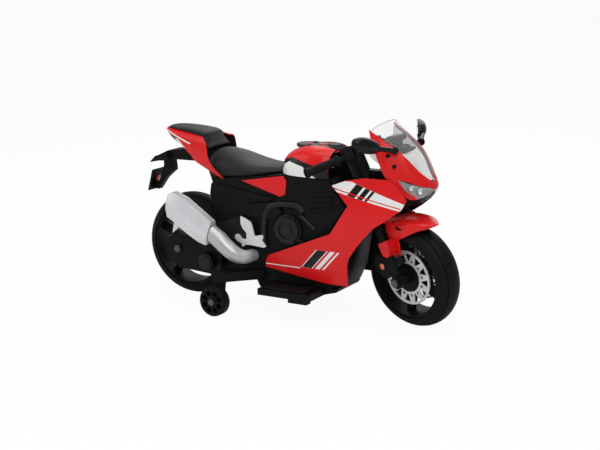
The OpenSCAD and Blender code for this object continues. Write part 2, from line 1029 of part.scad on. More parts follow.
module tail_cowl() {
  g = [for (r = tail_rows)
    let (
      w = tail_w / 2 * r[3],
      e = r[0] - r[4],
      m = r[0] - r[4] * 0.3,
      n = r[0] + r[5] * 0.06,
      d = along(deck_line, e),
      b = r[1],
      f = r[5] > 0 ? 1.008 : 0.96
    )
    [
      [r[0] + r[5], -w * f, b], [n, -w, mix(b, d, 0.4)], [m, -w * 0.97, d - r[2]],
      [e, -w * 0.64, d], [e, 0, d], [e, w * 0.64, d],
      [m, w * 0.97, d - r[2]], [n, w, mix(b, d, 0.4)], [r[0] + r[5], w * f, b]
    ]];
  color(red)
    sheet(g, offset_grid(g, -panel_t));
}

// black spar inside the tail with lamp and mudguard below it
module tail_frame() {
  color(black)
    union() {
      slab(-34, 34)
        polygon([
          [99.9, 318], [103.9, 346], [97.8, 356], [88, 370], [78, 398], [62, 436], [46, 458], [-20, 474],
          [-58, 480],
          [-56, 470], [20, 436], [60, 395], [82, 340]
        ]);
      slab(-30, 30)
        polygon([[40, 438], [50, 398], [-40, 396], [-92, 388], [-118, 386], [-104, 406], [-74, 420]]);
      pair()
        slab(-50, -29)
          polygon([[-60, 398], [-126, 384], [-106, 404], [-70, 416]]);
    }
}

// plate with its stem under the mudguard
module plate_holder() {
  color(black)
    difference() {
      union() {
        slab(-9, 9)
          polygon([
            [-104, 387 - part_gap], [-92, 388 - part_gap], [-70, 391.3 - part_gap], [-66, 360],
            [-97, 333], [-122, 298], [-142, 298], [-137, 316], [-122, 318], [-114, 342], [-104, 370]
          ]);
        slab(-33, 33)
          polygon([[-130, 358], [-124, 358], [-140, 296], [-146, 296]]);
      }
      at_plate()
        translate([0, 0, -20])
          cylinder(r = 7 + part_gap, h = 40);
    }
}

// frame of the reflector: Z points to the rear out of the plate
module at_plate() {
  translate([-134.2, 0, 330])
    rotate([0, -75.5, 0])
      children();
}

// red reflector through the plate
module rear_reflector() {
  color(amber)
    at_plate()
      union() {
        translate([0, 0, -6])
          cylinder(r = 7, h = 11);
        for (z = [-6.2, 3.2])
          translate([0, 0, z])
            cylinder(r = 10, h = 3);
      }
}

// silencer beside the rear wheel: x, z, half height, half width, lean
silencer_rows = [
  [-5, 284, 27, 17, 0], [-2, 286, 33, 23, 4], [6, 288, 37, 26, 12], [34, 276.5, 38.5, 27, 29],
  [83, 244.5, 38.5, 27, 30], [118, 223.5, 36.5, 26, 28], [133, 218, 35, 25.5, 14],
  [136.5, 216.5, 30, 22, 10]
];

// section of the silencer with a ridge on its outer side, in shares of half width and half height
silencer_ring = [
  [1, 0.45], [0.5, 1], [-0.5, 1], [-1, 0.14], [-1, -0.24], [-0.6, -1], [0.5, -1], [1, -0.45]
];

// eight-sided silencer drawn in by a wall
module silencer_shape(wall) {
  loft([for (r = silencer_rows) [for (q = silencer_ring)
    let (
      c = (r[2] - wall) * q[1],
      x = r[0] + (r[0] < 79 ? wall : -wall)
    )
    [x + c * sin(r[4]), -130 + (r[3] - wall) * q[0], r[1] + c * cos(r[4])]
  ]]);
}

module exhaust_silencer() {
  color(silver)
    union() {
      difference() {
        silencer_shape(0);
        silencer_shape(4);
      }
      rod_y(102, 190.5, 4, -112, -arm_out - part_gap);
      block([96, -112, 186], [108, -106, 236]);
      slab(-134, -128)
        polygon([[44, 235], [16, 252], [7, 204]]);
    }
}

// pipe from the silencer into the body side
module exhaust_pipe() {
  path = [
    [140.5, -130, 215.5, 25], [160, -130, 203, 24.5], [184, -130, 184, 23.5], [205, -127, 168.5, 22.5],
    [222, -119, 159, 20.5], [236, -106, 156, 19], [242, -body_y - part_gap, 156, 18]
  ];
  color(silver)
    loft([for (i = [0:6])
      let (
        p = path[i],
        s = unit([for (k = [0:2]) path[min(i + 1, 6)][k] - path[max(i - 1, 0)][k]]),
        d = i == 0 ? [cos(10), 0, -sin(10)] : i == 6 ? [0, 1, 0] : s,
        u = unit(cross(d, [0, 0, 1])),
        v = cross(u, d)
      )
      [for (k = [0:11]) [for (m = [0:2]) p[m] + p[3] * (cos(k * 30) * u[m] + sin(k * 30) * v[m])]]
    ]);
}

// bright heel plates with two posts each
module heel_plates() {
  color(silver)
    pair()
      union() {
        slab(-97, -92)
          polygon([
            [211, 268], [227, 263], [243, 255], [248, 247], [257, 216], [282, 222], [285, 214], [281, 206],
            [294, 190], [288, 186], [242, 189], [228, 188], [220, 181], [214, 184], [216, 189], [200, 196],
            [192, 205], [195, 214], [203, 216], [211, 211], [216, 204], [231, 204], [230, 223], [219, 233],
            [212, 246]
          ]);
        rod_y(231, 247, 6, -93, -body_y - part_gap);
        rod_y(252, 202, 6, -93, -body_y - part_gap);
      }
}

module side_covers() {
  color(red)
    pair()
      slab(-body_y - 4, -body_y - part_gap)
        polygon([[206, 366], [340, 391], [350, 378], [347, 340], [330, 332]]);
}

module steering_stem() {
  color(steel)
    steered()
      translate([0, 0, -122])
        cylinder(r = 9, h = 122);
}

// outline of a yoke
module yoke_shape() {
  difference() {
    union() {
      circle(r = 21);
      for (s = [-1, 1])
        translate([fork_offset, s * leg_y])
          circle(r = tube_r + 7);
      polygon([
        [-14, -16], [fork_offset - 12, -leg_y - 6], [fork_offset + 14, -leg_y],
        [fork_offset, 0], [fork_offset + 14, leg_y], [fork_offset - 12, leg_y + 6], [-14, 16]
      ]);
    }
    circle(r = 9 + run_gap / 2);
    for (s = [-1, 1])
      translate([fork_offset, s * leg_y])
        circle(r = tube_r + run_gap / 2);
  }
}

module fork_yokes() {
  color(black)
    steered() {
      translate([0, 0, -12])
        linear_extrude(height = 12)
          yoke_shape();
      translate([0, 0, -122])
        linear_extrude(height = 16)
          yoke_shape();
    }
}

module fork_tubes() {
  color(steel)
    steered()
      for (s = [-1, 1])
        translate([fork_offset, s * leg_y, 101 - fork_length])
          cylinder(r = tube_r, h = fork_length - 99);
}

// moulded brake caliper behind the fork leg, right-hand side
module caliper() {
  slab(-leg_y - 12, -leg_y + 9)
    polygon([
      [-2, 26], [-26, 18], [-44, 30], [-54, 52], [-50, 76], [-36, 88], [-18, 84], [-9, 70], [-2, 64]
    ]);
}

// fork lower with axle lug, caliper, fender tab and reflector lug, right-hand side
module fork_lower() {
  difference() {
    union() {
      translate([0, -leg_y, 18])
        cylinder(r = leg_r, h = 152);
      block([-9, -leg_y - 12, 6], [9, -leg_y + 9, 24]);
      rod_y(0, 0, 18, -leg_y - 13, -leg_y + 10);
      caliper();
      block([0, -leg_y, 42], [40, -49, 62]);
      block([-26, -leg_y - 9, 42], [0, -leg_y + 8, 68]);
    }
    translate([0, -leg_y, 100])
      cylinder(r = tube_r + run_gap / 2, h = 100);
    rod_y(0, 0, axle_r + run_gap / 2, -100, -30);
  }
}

module fork_lowers() {
  color(black)
    at_front_axle()
      pair()
        fork_lower();
}

// coloured guard in front of each fork lower
module fork_guards() {
  color(red)
    at_front_axle()
      pair()
        difference() {
          slab(-leg_y - 16, -49.2)
            polygon([[-10, 84], [-10, 114], [26, 114], [28, 94], [16, 72], [2, 72]]);
          translate([0, -leg_y, 60])
            cylinder(r = leg_r + part_gap, h = 80);
          block([-20, -leg_y - 20, 60], [-6, -40, 130]);
          block([-20, -leg_y, 60], [0, -40, 130]);
        }
}

module front_axle() {
  color(steel)
    at_front_axle()
      union() {
        rod_y(0, 0, axle_r, -leg_y - 20, leg_y + 20);
        pair()
          rod_y(0, 0, axle_r + 5, -leg_y - 23, -leg_y - 13 - part_gap);
      }
}

// rows of the fender: angle, crown radius, skirt radius, half width
fender_rows = [
  [34, 185, 180, 5], [38, 180, 166, 20], [45, 175, 150, 37], [54, 171, 130, 47],
  [66, 169, 114, 48.8], [76, 167, 108, 48.8], [84, 165, 116, 48.8]
];

// fender over the front wheel with a leg down to each fork lower
module front_fender() {
  g = [for (r = fender_rows) [for (q = [
      [-1, 0], [-1, 0.55], [-0.84, 0.86], [-0.45, 0.98], [0, 1],
      [0.45, 0.98], [0.84, 0.86], [1, 0.55], [1, 0]
    ])
    let (rad = mix(r[2], r[1], q[1]) + front_lift)
    [rad * cos(r[0]), q[0] * r[3], rad * sin(r[0])]
  ]];
  color(red)
    at_front_axle()
      union() {
        sheet(g, offset_grid(g, 2.5));
        pair()
          slab(-48.8, -46.2)
            polygon([[18, 164], [44, 158], [50, 130], [40, 90], [24, 50], [14, 44], [14, 90], [20, 130]]);
      }
}

// handlebar clamped to a fork tube, right-hand side
module handlebar() {
  difference() {
    union() {
      translate([fork_offset, -leg_y, -36])
        cylinder(r = tube_r + 7, h = 23);
      translate([fork_offset, -leg_y, -25])
        rotate([0, 0, -109])
          rotate([0, 90, 0])
            cylinder(r = 8, h = bar_reach);
    }
    translate([fork_offset, -leg_y, -50])
      cylinder(r = tube_r + run_gap / 2, h = 50);
  }
}

module handlebars() {
  color(black)
    steered()
      pair()
        handlebar();
}

module grips() {
  color(rubber)
    steered()
      pair()
        translate([fork_offset, -leg_y, -25])
          rotate([0, 0, -109])
            rotate([0, 90, 0])
              difference() {
                union() {
                  translate([0, 0, 30])
                    cylinder(r = grip_d / 2, h = bar_reach - 27);
                  translate([0, 0, 30])
                    cylinder(r = grip_d / 2 + 4, h = 6);
                  translate([0, 0, bar_reach - 6])
                    cylinder(r = grip_d / 2 + 2, h = 8);
                }
                cylinder(r = 8 + run_gap / 2, h = bar_reach + run_gap);
              }
}

module front_tyre() {
  color(rubber)
    at_front_axle()
      tyre(front_r, front_bead);
}

module front_rim() {
  color(black)
    at_front_axle()
      rim(front_bead, leg_y - 10 - move_gap);
}

// brake discs with windows, on both faces of the hub
module brake_discs() {
  ro = disc_d / 2;
  color(silver)
    at_front_axle()
      pair()
        translate([0, -24, 0])
          rotate([90, 0, 0])
            difference() {
              cylinder(r = ro, h = 4, $fn = 72);
              translate([0, 0, -1])
                cylinder(r = 40 + part_gap, h = 6);
              for (k = [0:11])
                rotate([0, 0, k * 30])
                  translate([0, 0, -1]) {
                    linear_extrude(height = 6)
                      polygon([[47, -2], [ro - 7, -11.5], [ro - 7, 11.5], [47, 2]]);
                    rotate([0, 0, 15])
                      translate([50, 0, 0])
                        cylinder(r = 4.2, h = 6, $fn = 16);
                  }
            }
}

// the whole part moved so that its middle stands at X = 0
module placed() {
  translate([-mid_x, 0, 0])
    children();
}

placed() rear_tyre();
placed() rear_rim();
placed() drive_dog();
placed() rear_axle();
placed() rear_fork_right();
placed() rear_fork_left();
placed() gearbox_housing();
placed() motor();
placed() stabiliser_arm_right();
placed() stabiliser_arm_left();
placed() stabiliser_bolts();
placed() stabiliser_wheel_right();
placed() stabiliser_wheel_left();
placed() frame_spine();
placed() body_half_right();
placed() body_half_left();
placed() engine_covers();
placed() battery();
placed() control_unit();
placed() belly_pan();
placed() footboard_right();
placed() footboard_left();
placed() foot_pedal();
placed() radiator_cover();
placed() side_fairing_right();
placed() side_fairing_left();
placed() nose_fairing();
placed() windscreen();
placed() headlight_lenses();
placed() nose_chin();
placed() dash_panel();
placed() mirror_housings();
placed() mirror_glasses();
placed() tank_cover();
placed() tank_console();
placed() horn_button();
placed() music_button();
placed() power_rocker();
placed() seat();
placed() pillion_pad();
placed() tail_cowl();
placed() tail_frame();
placed() plate_holder();
placed() rear_reflector();
placed() exhaust_silencer();
placed() exhaust_pipe();
placed() heel_plates();
placed() side_covers();
placed() steering_stem();
placed() fork_yokes();
placed() fork_tubes();
placed() fork_lowers();
placed() fork_guards();
placed() front_axle();
placed() front_fender();
placed() handlebars();
placed() grips();
placed() front_tyre();
placed() front_rim();
placed() brake_discs();
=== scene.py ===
"""Looks of a child's ride-on motorcycle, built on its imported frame.

Lengths are in millimetres and X is counted from the rear axle, as in the part's source;
at() turns them into the row frame's metres.
"""

from __future__ import annotations

import json
import logging
import math
from collections.abc import Iterable, Sequence
from dataclasses import dataclass, field
from enum import Enum

import bmesh
import bpy
from mathutils import Matrix, Vector


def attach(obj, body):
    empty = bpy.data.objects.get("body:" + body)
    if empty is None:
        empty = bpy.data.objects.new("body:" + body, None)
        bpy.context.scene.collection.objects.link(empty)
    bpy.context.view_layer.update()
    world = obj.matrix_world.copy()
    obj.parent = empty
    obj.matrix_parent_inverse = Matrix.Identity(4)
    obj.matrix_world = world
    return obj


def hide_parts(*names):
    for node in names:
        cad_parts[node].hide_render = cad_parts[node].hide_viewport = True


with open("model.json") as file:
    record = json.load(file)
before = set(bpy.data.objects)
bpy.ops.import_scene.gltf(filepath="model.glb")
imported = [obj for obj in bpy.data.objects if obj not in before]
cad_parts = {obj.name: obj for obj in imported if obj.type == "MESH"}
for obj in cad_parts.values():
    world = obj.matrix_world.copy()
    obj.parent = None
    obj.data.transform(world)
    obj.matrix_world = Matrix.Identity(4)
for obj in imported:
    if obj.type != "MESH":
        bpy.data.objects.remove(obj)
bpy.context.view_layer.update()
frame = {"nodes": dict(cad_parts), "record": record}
LOG = logging.getLogger("motorcycle")
MM = 0.001
MID_X = 348.0
WELD = 1e-6
STRIPE_SOFT = 0.5
TUBE_STEPS = 6
NODE_BODY = {node: body for body, nodes in frame["record"]["behaviour"]["bodies"].items() for node in nodes}

Colour = tuple[float, float, float]
Spot = tuple[float, float]


def at(x: float, y: float, z: float) -> Vector:
    """Row-frame point from millimetres ahead of the rear axle."""
    return Vector(((x - MID_X) * MM, y * MM, z * MM))


def spline(points: Sequence[Vector], share: float) -> Vector:
    """Point on a smooth line through points.

    Args:
        points: the points that the line passes.
        share: place along the line from 0 to 1, with equal shares between points.

    Returns:
        The point at that place.
    """
    last = len(points) - 1
    i = min(int(share * last), last - 1)
    f = share * last - i
    p1, p2 = points[i], points[i + 1]
    p0 = points[i - 1] if i else 2 * p1 - p2
    p3 = points[i + 2] if i + 2 <= last else 2 * p2 - p1
    bend = (2 * p0 - 5 * p1 + 4 * p2 - p3) * f * f
    twist = (3 * p1 - p0 - 3 * p2 + p3) * f * f * f
    return (2 * p1 + (p2 - p0) * f + bend + twist) / 2


def lerp(points: Sequence[Vector], share: float) -> Vector:
    """Point at a share of a broken line with equal shares between points."""
    last = len(points) - 1
    i = min(int(share * last), last - 1)
    return points[i].lerp(points[i + 1], share * last - i)


def disc_on(place: Vector, outward: Vector) -> Matrix:
    """Frame at a point whose Z points along a direction."""
    return Matrix.Translation(place) @ outward.to_track_quat("Z", "Y").to_matrix().to_4x4()


class Value:
    """A shader number that takes part in Python arithmetic."""

    def __init__(self, shader: Shader, socket: bpy.types.NodeSocket) -> None:
        """Wrap one output socket of a shader."""
        self.shader = shader
        self.socket = socket

    def math(self, operation: str, first: Value | float, second: Value | float = 0.0) -> Value:
        """Add a Math node.

        Args:
            operation: the node's operation.
            first: first input.
            second: second input.

        Returns:
            The node's result.
        """
        node = self.shader.node("ShaderNodeMath", {"operation": operation}, {0: first, 1: second})
        return Value(self.shader, node.outputs[0])

    def __add__(self, other: Value | float) -> Value:
        """Sum."""
        return self.math("ADD", self, other)

    __radd__ = __add__

    def __sub__(self, other: Value | float) -> Value:
        """Difference."""
        return self.math("SUBTRACT", self, other)

    def __rsub__(self, other: Value | float) -> Value:
        """Difference from a number."""
        return self.math("SUBTRACT", other, self)

    def __mul__(self, other: Value | float) -> Value:
        """Product."""
        return self.math("MULTIPLY", self, other)

    __rmul__ = __mul__

    def least(self, other: Value | float) -> Value:
        """Smaller of two values."""
        return self.math("MINIMUM", self, other)

    def most(self, other: Value | float) -> Value:
        """Larger of two values."""
        return self.math("MAXIMUM", self, other)

    def step(self, low: float, high: float) -> Value:
        """Smooth step from 0 at low to 1 at high."""
        node = self.shader.node(
            "ShaderNodeMapRange",
            {"interpolation_type": "SMOOTHSTEP"},
            {"Value": self, "From Min": low, "From Max": high, "To Min": 0.0, "To Max": 1.0},
        )
        return Value(self.shader, node.outputs[0])


class Shader:
    """A material under construction around its Principled shader."""

    def __init__(self, name: str) -> None:
        """Start a material with its shader at the defaults."""
        self.material = bpy.data.materials.new(name)
        self.material.use_nodes = True
        self.tree = self.material.node_tree
        self.bsdf = next(n for n in self.tree.nodes if n.type == "BSDF_PRINCIPLED")
        self.place: tuple[Value, Value, Value] | None = None

    def feed(self, socket: bpy.types.NodeSocket, value: object) -> None:
        """Link a socket to a value, or set its number."""
        if isinstance(value, Value):
            value = value.socket
        if isinstance(value, bpy.types.NodeSocket):
            self.tree.links.new(value, socket)
        else:
            socket.default_value = value

    def node(self, kind: str, settings: dict | None = None, inputs: dict | None = None) -> bpy.types.Node:
        """Add a node.

        Args:
            kind: the node's type.
            settings: properties that are set first.
            inputs: values or links by socket name or number.

        Returns:
            The new node.
        """
        node = self.tree.nodes.new(kind)
        for key, value in (settings or {}).items():
            setattr(node, key, value)
        for key, value in (inputs or {}).items():
            self.feed(node.inputs[key], value)
        return node

    def constants(self, **numbers: object) -> None:
        """Set sockets of the shader that are the same all over; underscores stand for blanks."""
        for name, number in numbers.items():
            self.bsdf.inputs[name.replace("_", " ")].default_value = number

    def drive(self, socket: str, value: object) -> None:
        """Feed one socket of the shader."""
        self.feed(self.bsdf.inputs[socket], value)

    def point(self) -> tuple[Value, Value, Value]:
        """Place on the piece: X from the rear axle, Y and Z, in millimetres."""
        if self.place is None:
            coordinates = self.node("ShaderNodeTexCoord")
            split = self.node("ShaderNodeSeparateXYZ", None, {0: coordinates.outputs["Object"]})
            x, y, z = (Value(self, split.outputs[k]) for k in range(3))
            self.place = (x * (1 / MM) + MID_X, y * (1 / MM), z * (1 / MM))
        return self.place

    def mapped(self, size: float, stretch: Colour = (1.0, 1.0, 1.0)) -> dict:
        """Inputs of a pattern on the piece, by the size of its spots in millimetres."""
        coordinates = self.node("ShaderNodeTexCoord").outputs["Object"]
        mapping = self.node("ShaderNodeMapping", None, {"Vector": coordinates, "Scale": stretch})
        return {"Vector": mapping.outputs[0], "Scale": 1 / (size * MM)}

    def noise(self, size: float, detail: float = 2.0, stretch: Colour = (1.0, 1.0, 1.0)) -> Value:
        """Soft noise on the piece.

        Args:
            size: width of its spots in millimetres.
            detail: octaves of finer noise.
            stretch: scale along X, Y and Z.

        Returns:
            The noise, from 0 to 1.
        """
        inputs = {**self.mapped(size, stretch), "Detail": detail}
        return Value(self, self.node("ShaderNodeTexNoise", None, inputs).outputs[0])

    def cells(self, size: float) -> Value:
        """Distance to the edges of irregular cells of a size in millimetres."""
        settings = {"feature": "DISTANCE_TO_EDGE"}
        return Value(self, self.node("ShaderNodeTexVoronoi", settings, self.mapped(size)).outputs["Distance"])

    def mix(self, share: Value | float, first: object, second: object) -> bpy.types.NodeSocket:
        """Colour between two others."""
        inputs = {0: share, 6: as_rgba(first), 7: as_rgba(second)}
        return self.node("ShaderNodeMix", {"data_type": "RGBA"}, inputs).outputs[2]

    def bump(self, height: Value, depth: float) -> None:
        """Relief of a depth in millimetres."""
        node = self.node("ShaderNodeBump", None, {"Strength": 1.0, "Distance": depth * MM, "Height": height})
        self.drive("Normal", node.outputs[0])

    def left_of(self, start: Spot, end: Spot) -> Value:
        """Mask of what lies left of a line in X and Z, seen with X to the right and Z up."""
        x, _, z = self.point()
        run, rise = end[0] - start[0], end[1] - start[1]
        length = math.hypot(run, rise)
        offset = (rise * start[0] - run * start[1]) / length
        distance = z * (run / length) - x * (rise / length) + offset
        return distance.step(-STRIPE_SOFT, STRIPE_SOFT)

    def patch(self, corners: Sequence[Spot]) -> Value:
        """Mask of a convex patch whose corners run anticlockwise in X and Z."""
        mask = None
        for start, end in zip(corners, [*corners[1:], corners[0]]):
            side = self.left_of(start, end)
            mask = side if mask is None else mask.least(side)
        return mask


def as_rgba(value: object) -> object:
    """Colour with alpha where a plain triple is given."""
    return (*value, 1.0) if isinstance(value, tuple) else value


def shade(colour: Colour, factor: float) -> Colour:
    """Colour made lighter or darker by a factor."""
    return tuple(min(1.0, channel * factor) for channel in colour)


@dataclass(frozen=True)
class Finish:
    """A surface finish: its material's name and the record's slot that it belongs to."""

    name: str
    slot: str

    def material(self) -> bpy.types.Material:
        """Material of this finish, made once."""
        found = bpy.data.materials.get(self.name)
        if found is None:
            shader = Shader(self.name)
            self.paint(shader)
            found = shader.material
        return found

    def paint(self, shader: Shader) -> None:
        """Set up the shader."""
        raise NotImplementedError


@dataclass(frozen=True)
class Moulded(Finish):
    """Moulded plastic with a fine grain."""

    colour: Colour = (0.5, 0.5, 0.5)
    roughness: float = 0.5
    grain: float = 0.05
    grain_size: float = 0.9
    coat: float = 0.0
    gleam: float = 0.1

    def paint(self, shader: Shader) -> None:
        """Cloudy tone, grain and uneven sheen."""
        cloud = shader.noise(60.0, 3.0)
        grain = shader.noise(self.grain_size)
        shader.drive("Base Color", shader.mix(cloud, shade(self.colour, 0.82), shade(self.colour, 1.2)))
        shader.drive("Roughness", self.roughness + (cloud - 0.5) * 0.14 + (grain - 0.5) * 0.08)
        shader.constants(Coat_Weight=self.coat, Coat_Roughness=0.12, Specular_IOR_Level=self.gleam)
        shader.bump(grain, self.grain)


@dataclass(frozen=True)
class GlossPanel(Finish):
    """Gloss panel of one colour with a faint ripple from the mould."""

    colour: Colour = (0.5, 0.0, 0.0)

    def artwork(self, shader: Shader, ground: bpy.types.NodeSocket) -> bpy.types.NodeSocket:
        """Colour over the panel's own ground colour."""
        return ground

    def paint(self, shader: Shader) -> None:
        """Deep colour, faint ripple and a clear coat."""
        cloud = shader.noise(90.0, 2.0)
        ripple = shader.noise(14.0, 1.0)
        dust = shader.noise(3.0, 3.0)
        ground = shader.mix(cloud, shade(self.colour, 0.93), shade(self.colour, 1.06))
        shader.drive("Base Color", self.artwork(shader, ground))
        shader.drive("Roughness", 0.3 + (dust - 0.5) * 0.1)
        shader.constants(Coat_Weight=0.12, Coat_Roughness=0.05, Specular_IOR_Level=0.2)
        shader.bump(ripple, 0.12)


WHITE: Colour = (0.78, 0.78, 0.77)
BLACK: Colour = (0.005, 0.005, 0.0055)
RED: Colour = (0.66, 0.009, 0.010)


@dataclass(frozen=True)
class SideStripes(GlossPanel):
    """Side panel with a white band, slanted bars and a line along its foot."""

    band: tuple[Spot, ...] = ((488, 378), (700, 333), (726, 347), (566, 401), (507, 401))
    band_bars: tuple[Spot, ...] = ((528, 26), (562, 17), (586, 9))
    band_slant: tuple[float, float, float] = (330, 410, 62)
    band_edge: tuple[Spot, ...] = ((500, 381), (704, 337.5), (706, 340), (501, 384))
    foot_bars: tuple[tuple[float, float, Colour], ...] = (
        (408, 36, WHITE), (411, 30, BLACK), (452, 14, WHITE), (474, 6, WHITE),
    )
    foot_slant: tuple[float, float, float] = (148, 204, 52)
    foot_line: tuple[Spot, ...] = ((284, 139), (404, 142.2), (404, 145.4), (284, 141.6))

    @staticmethod
    def bar(shader: Shader, start: float, width: float, low: float, high: float, lean: float) -> Value:
        """Mask of a leaning bar whose foot starts at an X.

        Args:
            shader: the shader that gets the mask.
            start: X of the foot.
            width: width along X.
            low: height of the foot.
            high: height of the head.
            lean: how far the head lies ahead of the foot.

        Returns:
            The mask.
        """
        corners = ((start, low), (start + width, low), (start + width + lean, high), (start + lean, high))
        return shader.patch(corners)

    def artwork(self, shader: Shader, ground: bpy.types.NodeSocket) -> bpy.types.NodeSocket:
        """Band with three slanted bars above, bars and a line below."""
        band = shader.patch(self.band)
        paint = shader.mix(band, ground, WHITE)
        for start, width in self.band_bars:
            paint = shader.mix(self.bar(shader, start, width, *self.band_slant).least(band), paint, BLACK)
        paint = shader.mix(shader.patch(self.band_edge), paint, RED)
        for start, width, colour in self.foot_bars:
            paint = shader.mix(self.bar(shader, start, width, *self.foot_slant), paint, colour)
        return shader.mix(shader.patch(self.foot_line), paint, WHITE)


@dataclass(frozen=True)
class TankStripes(GlossPanel):
    """Tank with a pale side panel under a dark band."""

    band: tuple[Spot, ...] = (
        (322, 395), (478, 395), (478, 420), (420, 434), (372, 447), (340, 437), (322, 418),
    )
    panel: tuple[Spot, ...] = ((326, 395), (444, 395), (404, 424), (360, 434), (338, 424))

    def artwork(self, shader: Shader, ground: bpy.types.NodeSocket) -> bpy.types.NodeSocket:
        """Pale panel low on the sides, dark band above it."""
        paint = shader.mix(shader.patch(self.band), ground, BLACK)
        return shader.mix(shader.patch(self.panel), paint, WHITE)


@dataclass(frozen=True)
class TailStripes(GlossPanel):
    """Tail with a dark lamp field between two pale lines on each side."""

    lamp: tuple[Spot, ...] = ((-80, 470), (-46, 452), (-8, 436), (4, 441), (-22, 462), (-80, 481))
    upper: tuple[Spot, ...] = ((-80, 483), (26, 452), (32, 455), (-80, 488))
    flash: tuple[Spot, ...] = ((-34, 463), (-4, 441), (8, 438), (-18, 462))

    def artwork(self, shader: Shader, ground: bpy.types.NodeSocket) -> bpy.types.NodeSocket:
        """Dark field along the lower edge, pale lines that taper towards the front."""
        paint = shader.mix(shader.patch(self.lamp), ground, BLACK)
        paint = shader.mix(shader.patch(self.upper), paint, WHITE)
        return shader.mix(shader.patch(self.flash), paint, WHITE)


@dataclass(frozen=True)
class SilverPaint(Finish):
    """Silver paint with fine flake on moulded plastic."""

    colour: Colour = (0.66, 0.67, 0.69)

    def paint(self, shader: Shader) -> None:
        """Flake in the tone and a soft gloss."""
        flake = shader.noise(0.35)
        cloud = shader.noise(70.0, 2.0)
        tone = (flake * 0.7 + cloud * 0.3).step(0.25, 0.75)
        shader.drive("Base Color", shader.mix(tone, shade(self.colour, 0.86), shade(self.colour, 1.1)))
        shader.drive("Roughness", 0.34 + (cloud - 0.5) * 0.12)
        shader.drive("Metallic", 0.35 + (flake - 0.5) * 0.3)
        shader.constants(Coat_Weight=0.25, Coat_Roughness=0.12)
        shader.bump(flake, 0.01)


@dataclass(frozen=True)
class PlatedSteel(Finish):
    """Plated steel with fine turning marks."""

    colour: Colour = (0.6, 0.6, 0.62)
    roughness: float = 0.28

    def paint(self, shader: Shader) -> None:
        """Metal with streaks across the axle."""
        streak = shader.noise(0.8, 2.0, (0.2, 4.0, 0.2))
        shader.drive("Base Color", shader.mix(streak, shade(self.colour, 0.85), shade(self.colour, 1.1)))
        shader.drive("Roughness", self.roughness + (streak - 0.5) * 0.16)
        shader.constants(Metallic=1.0)
        shader.bump(streak, 0.015)


@dataclass(frozen=True)
class ClearPlastic(Finish):
    """Thin clear plastic, see-through with a faint haze."""

    colour: Colour = (0.93, 0.94, 0.95)
    haze: float = 0.12

    def paint(self, shader: Shader) -> None:
        """Faint smears in the haze and the gloss."""
        smear = shader.noise(30.0, 3.0)
        shader.drive("Base Color", shader.mix(smear, shade(self.colour, 0.96), self.colour))
        shader.drive("Roughness", 0.04 + smear * 0.05)
        shader.drive("Alpha", self.haze + (smear - 0.5) * 0.06)


@dataclass(frozen=True)
class PrismLens(Finish):
    """Coloured reflector with small prisms behind its face."""

    colour: Colour = (0.7, 0.05, 0.03)

    def paint(self, shader: Shader) -> None:
        """Cells that catch the light."""
        cells = shader.cells(2.2)
        tone = cells.step(0.0, 0.25)
        shader.drive("Base Color", shader.mix(tone, shade(self.colour, 0.55), shade(self.colour, 1.15)))
        shader.drive("Roughness", 0.14 + cells * 0.2)
        shader.constants(Coat_Weight=0.8, Coat_Roughness=0.04)
        shader.bump(cells, 0.3)


@dataclass(frozen=True)
class MirrorGlass(Finish):
    """Silvered mirror."""

    def paint(self, shader: Shader) -> None:
        """Bright metal with a faint haze."""
        haze = shader.noise(12.0, 2.0)
        shader.drive("Base Color", shader.mix(haze, (0.8, 0.81, 0.83), (0.88, 0.89, 0.9)))
        shader.drive("Roughness", 0.02 + haze * 0.04)
        shader.constants(Metallic=1.0)


@dataclass(frozen=True)
class Leatherette(Finish):
    """Seat cover with a leather grain."""

    colour: Colour = (0.011, 0.011, 0.012)

    def paint(self, shader: Shader) -> None:
        """Grain cells, fine pores and a soft sheen; the colour darkens in the grain's creases as painted
        shade.
        """
        cells = shader.cells(2.0)
        pores = shader.noise(0.7)
        cloud = shader.noise(45.0, 3.0)
        # Near 0 in the grain's creases, where the colour is darker: painted shade.
        crease = cells.step(0.0, 0.22)
        shader.drive("Base Color", shader.mix(crease, shade(self.colour, 0.6), shade(self.colour, 1.15)))
        shader.drive("Roughness", 0.42 + (cloud - 0.5) * 0.16 + (1 - crease) * 0.1)
        shader.constants(Sheen_Weight=0.03, Sheen_Roughness=0.5, Specular_IOR_Level=0.2)
        shader.bump(crease * 0.8 + pores * 0.3, 0.12)


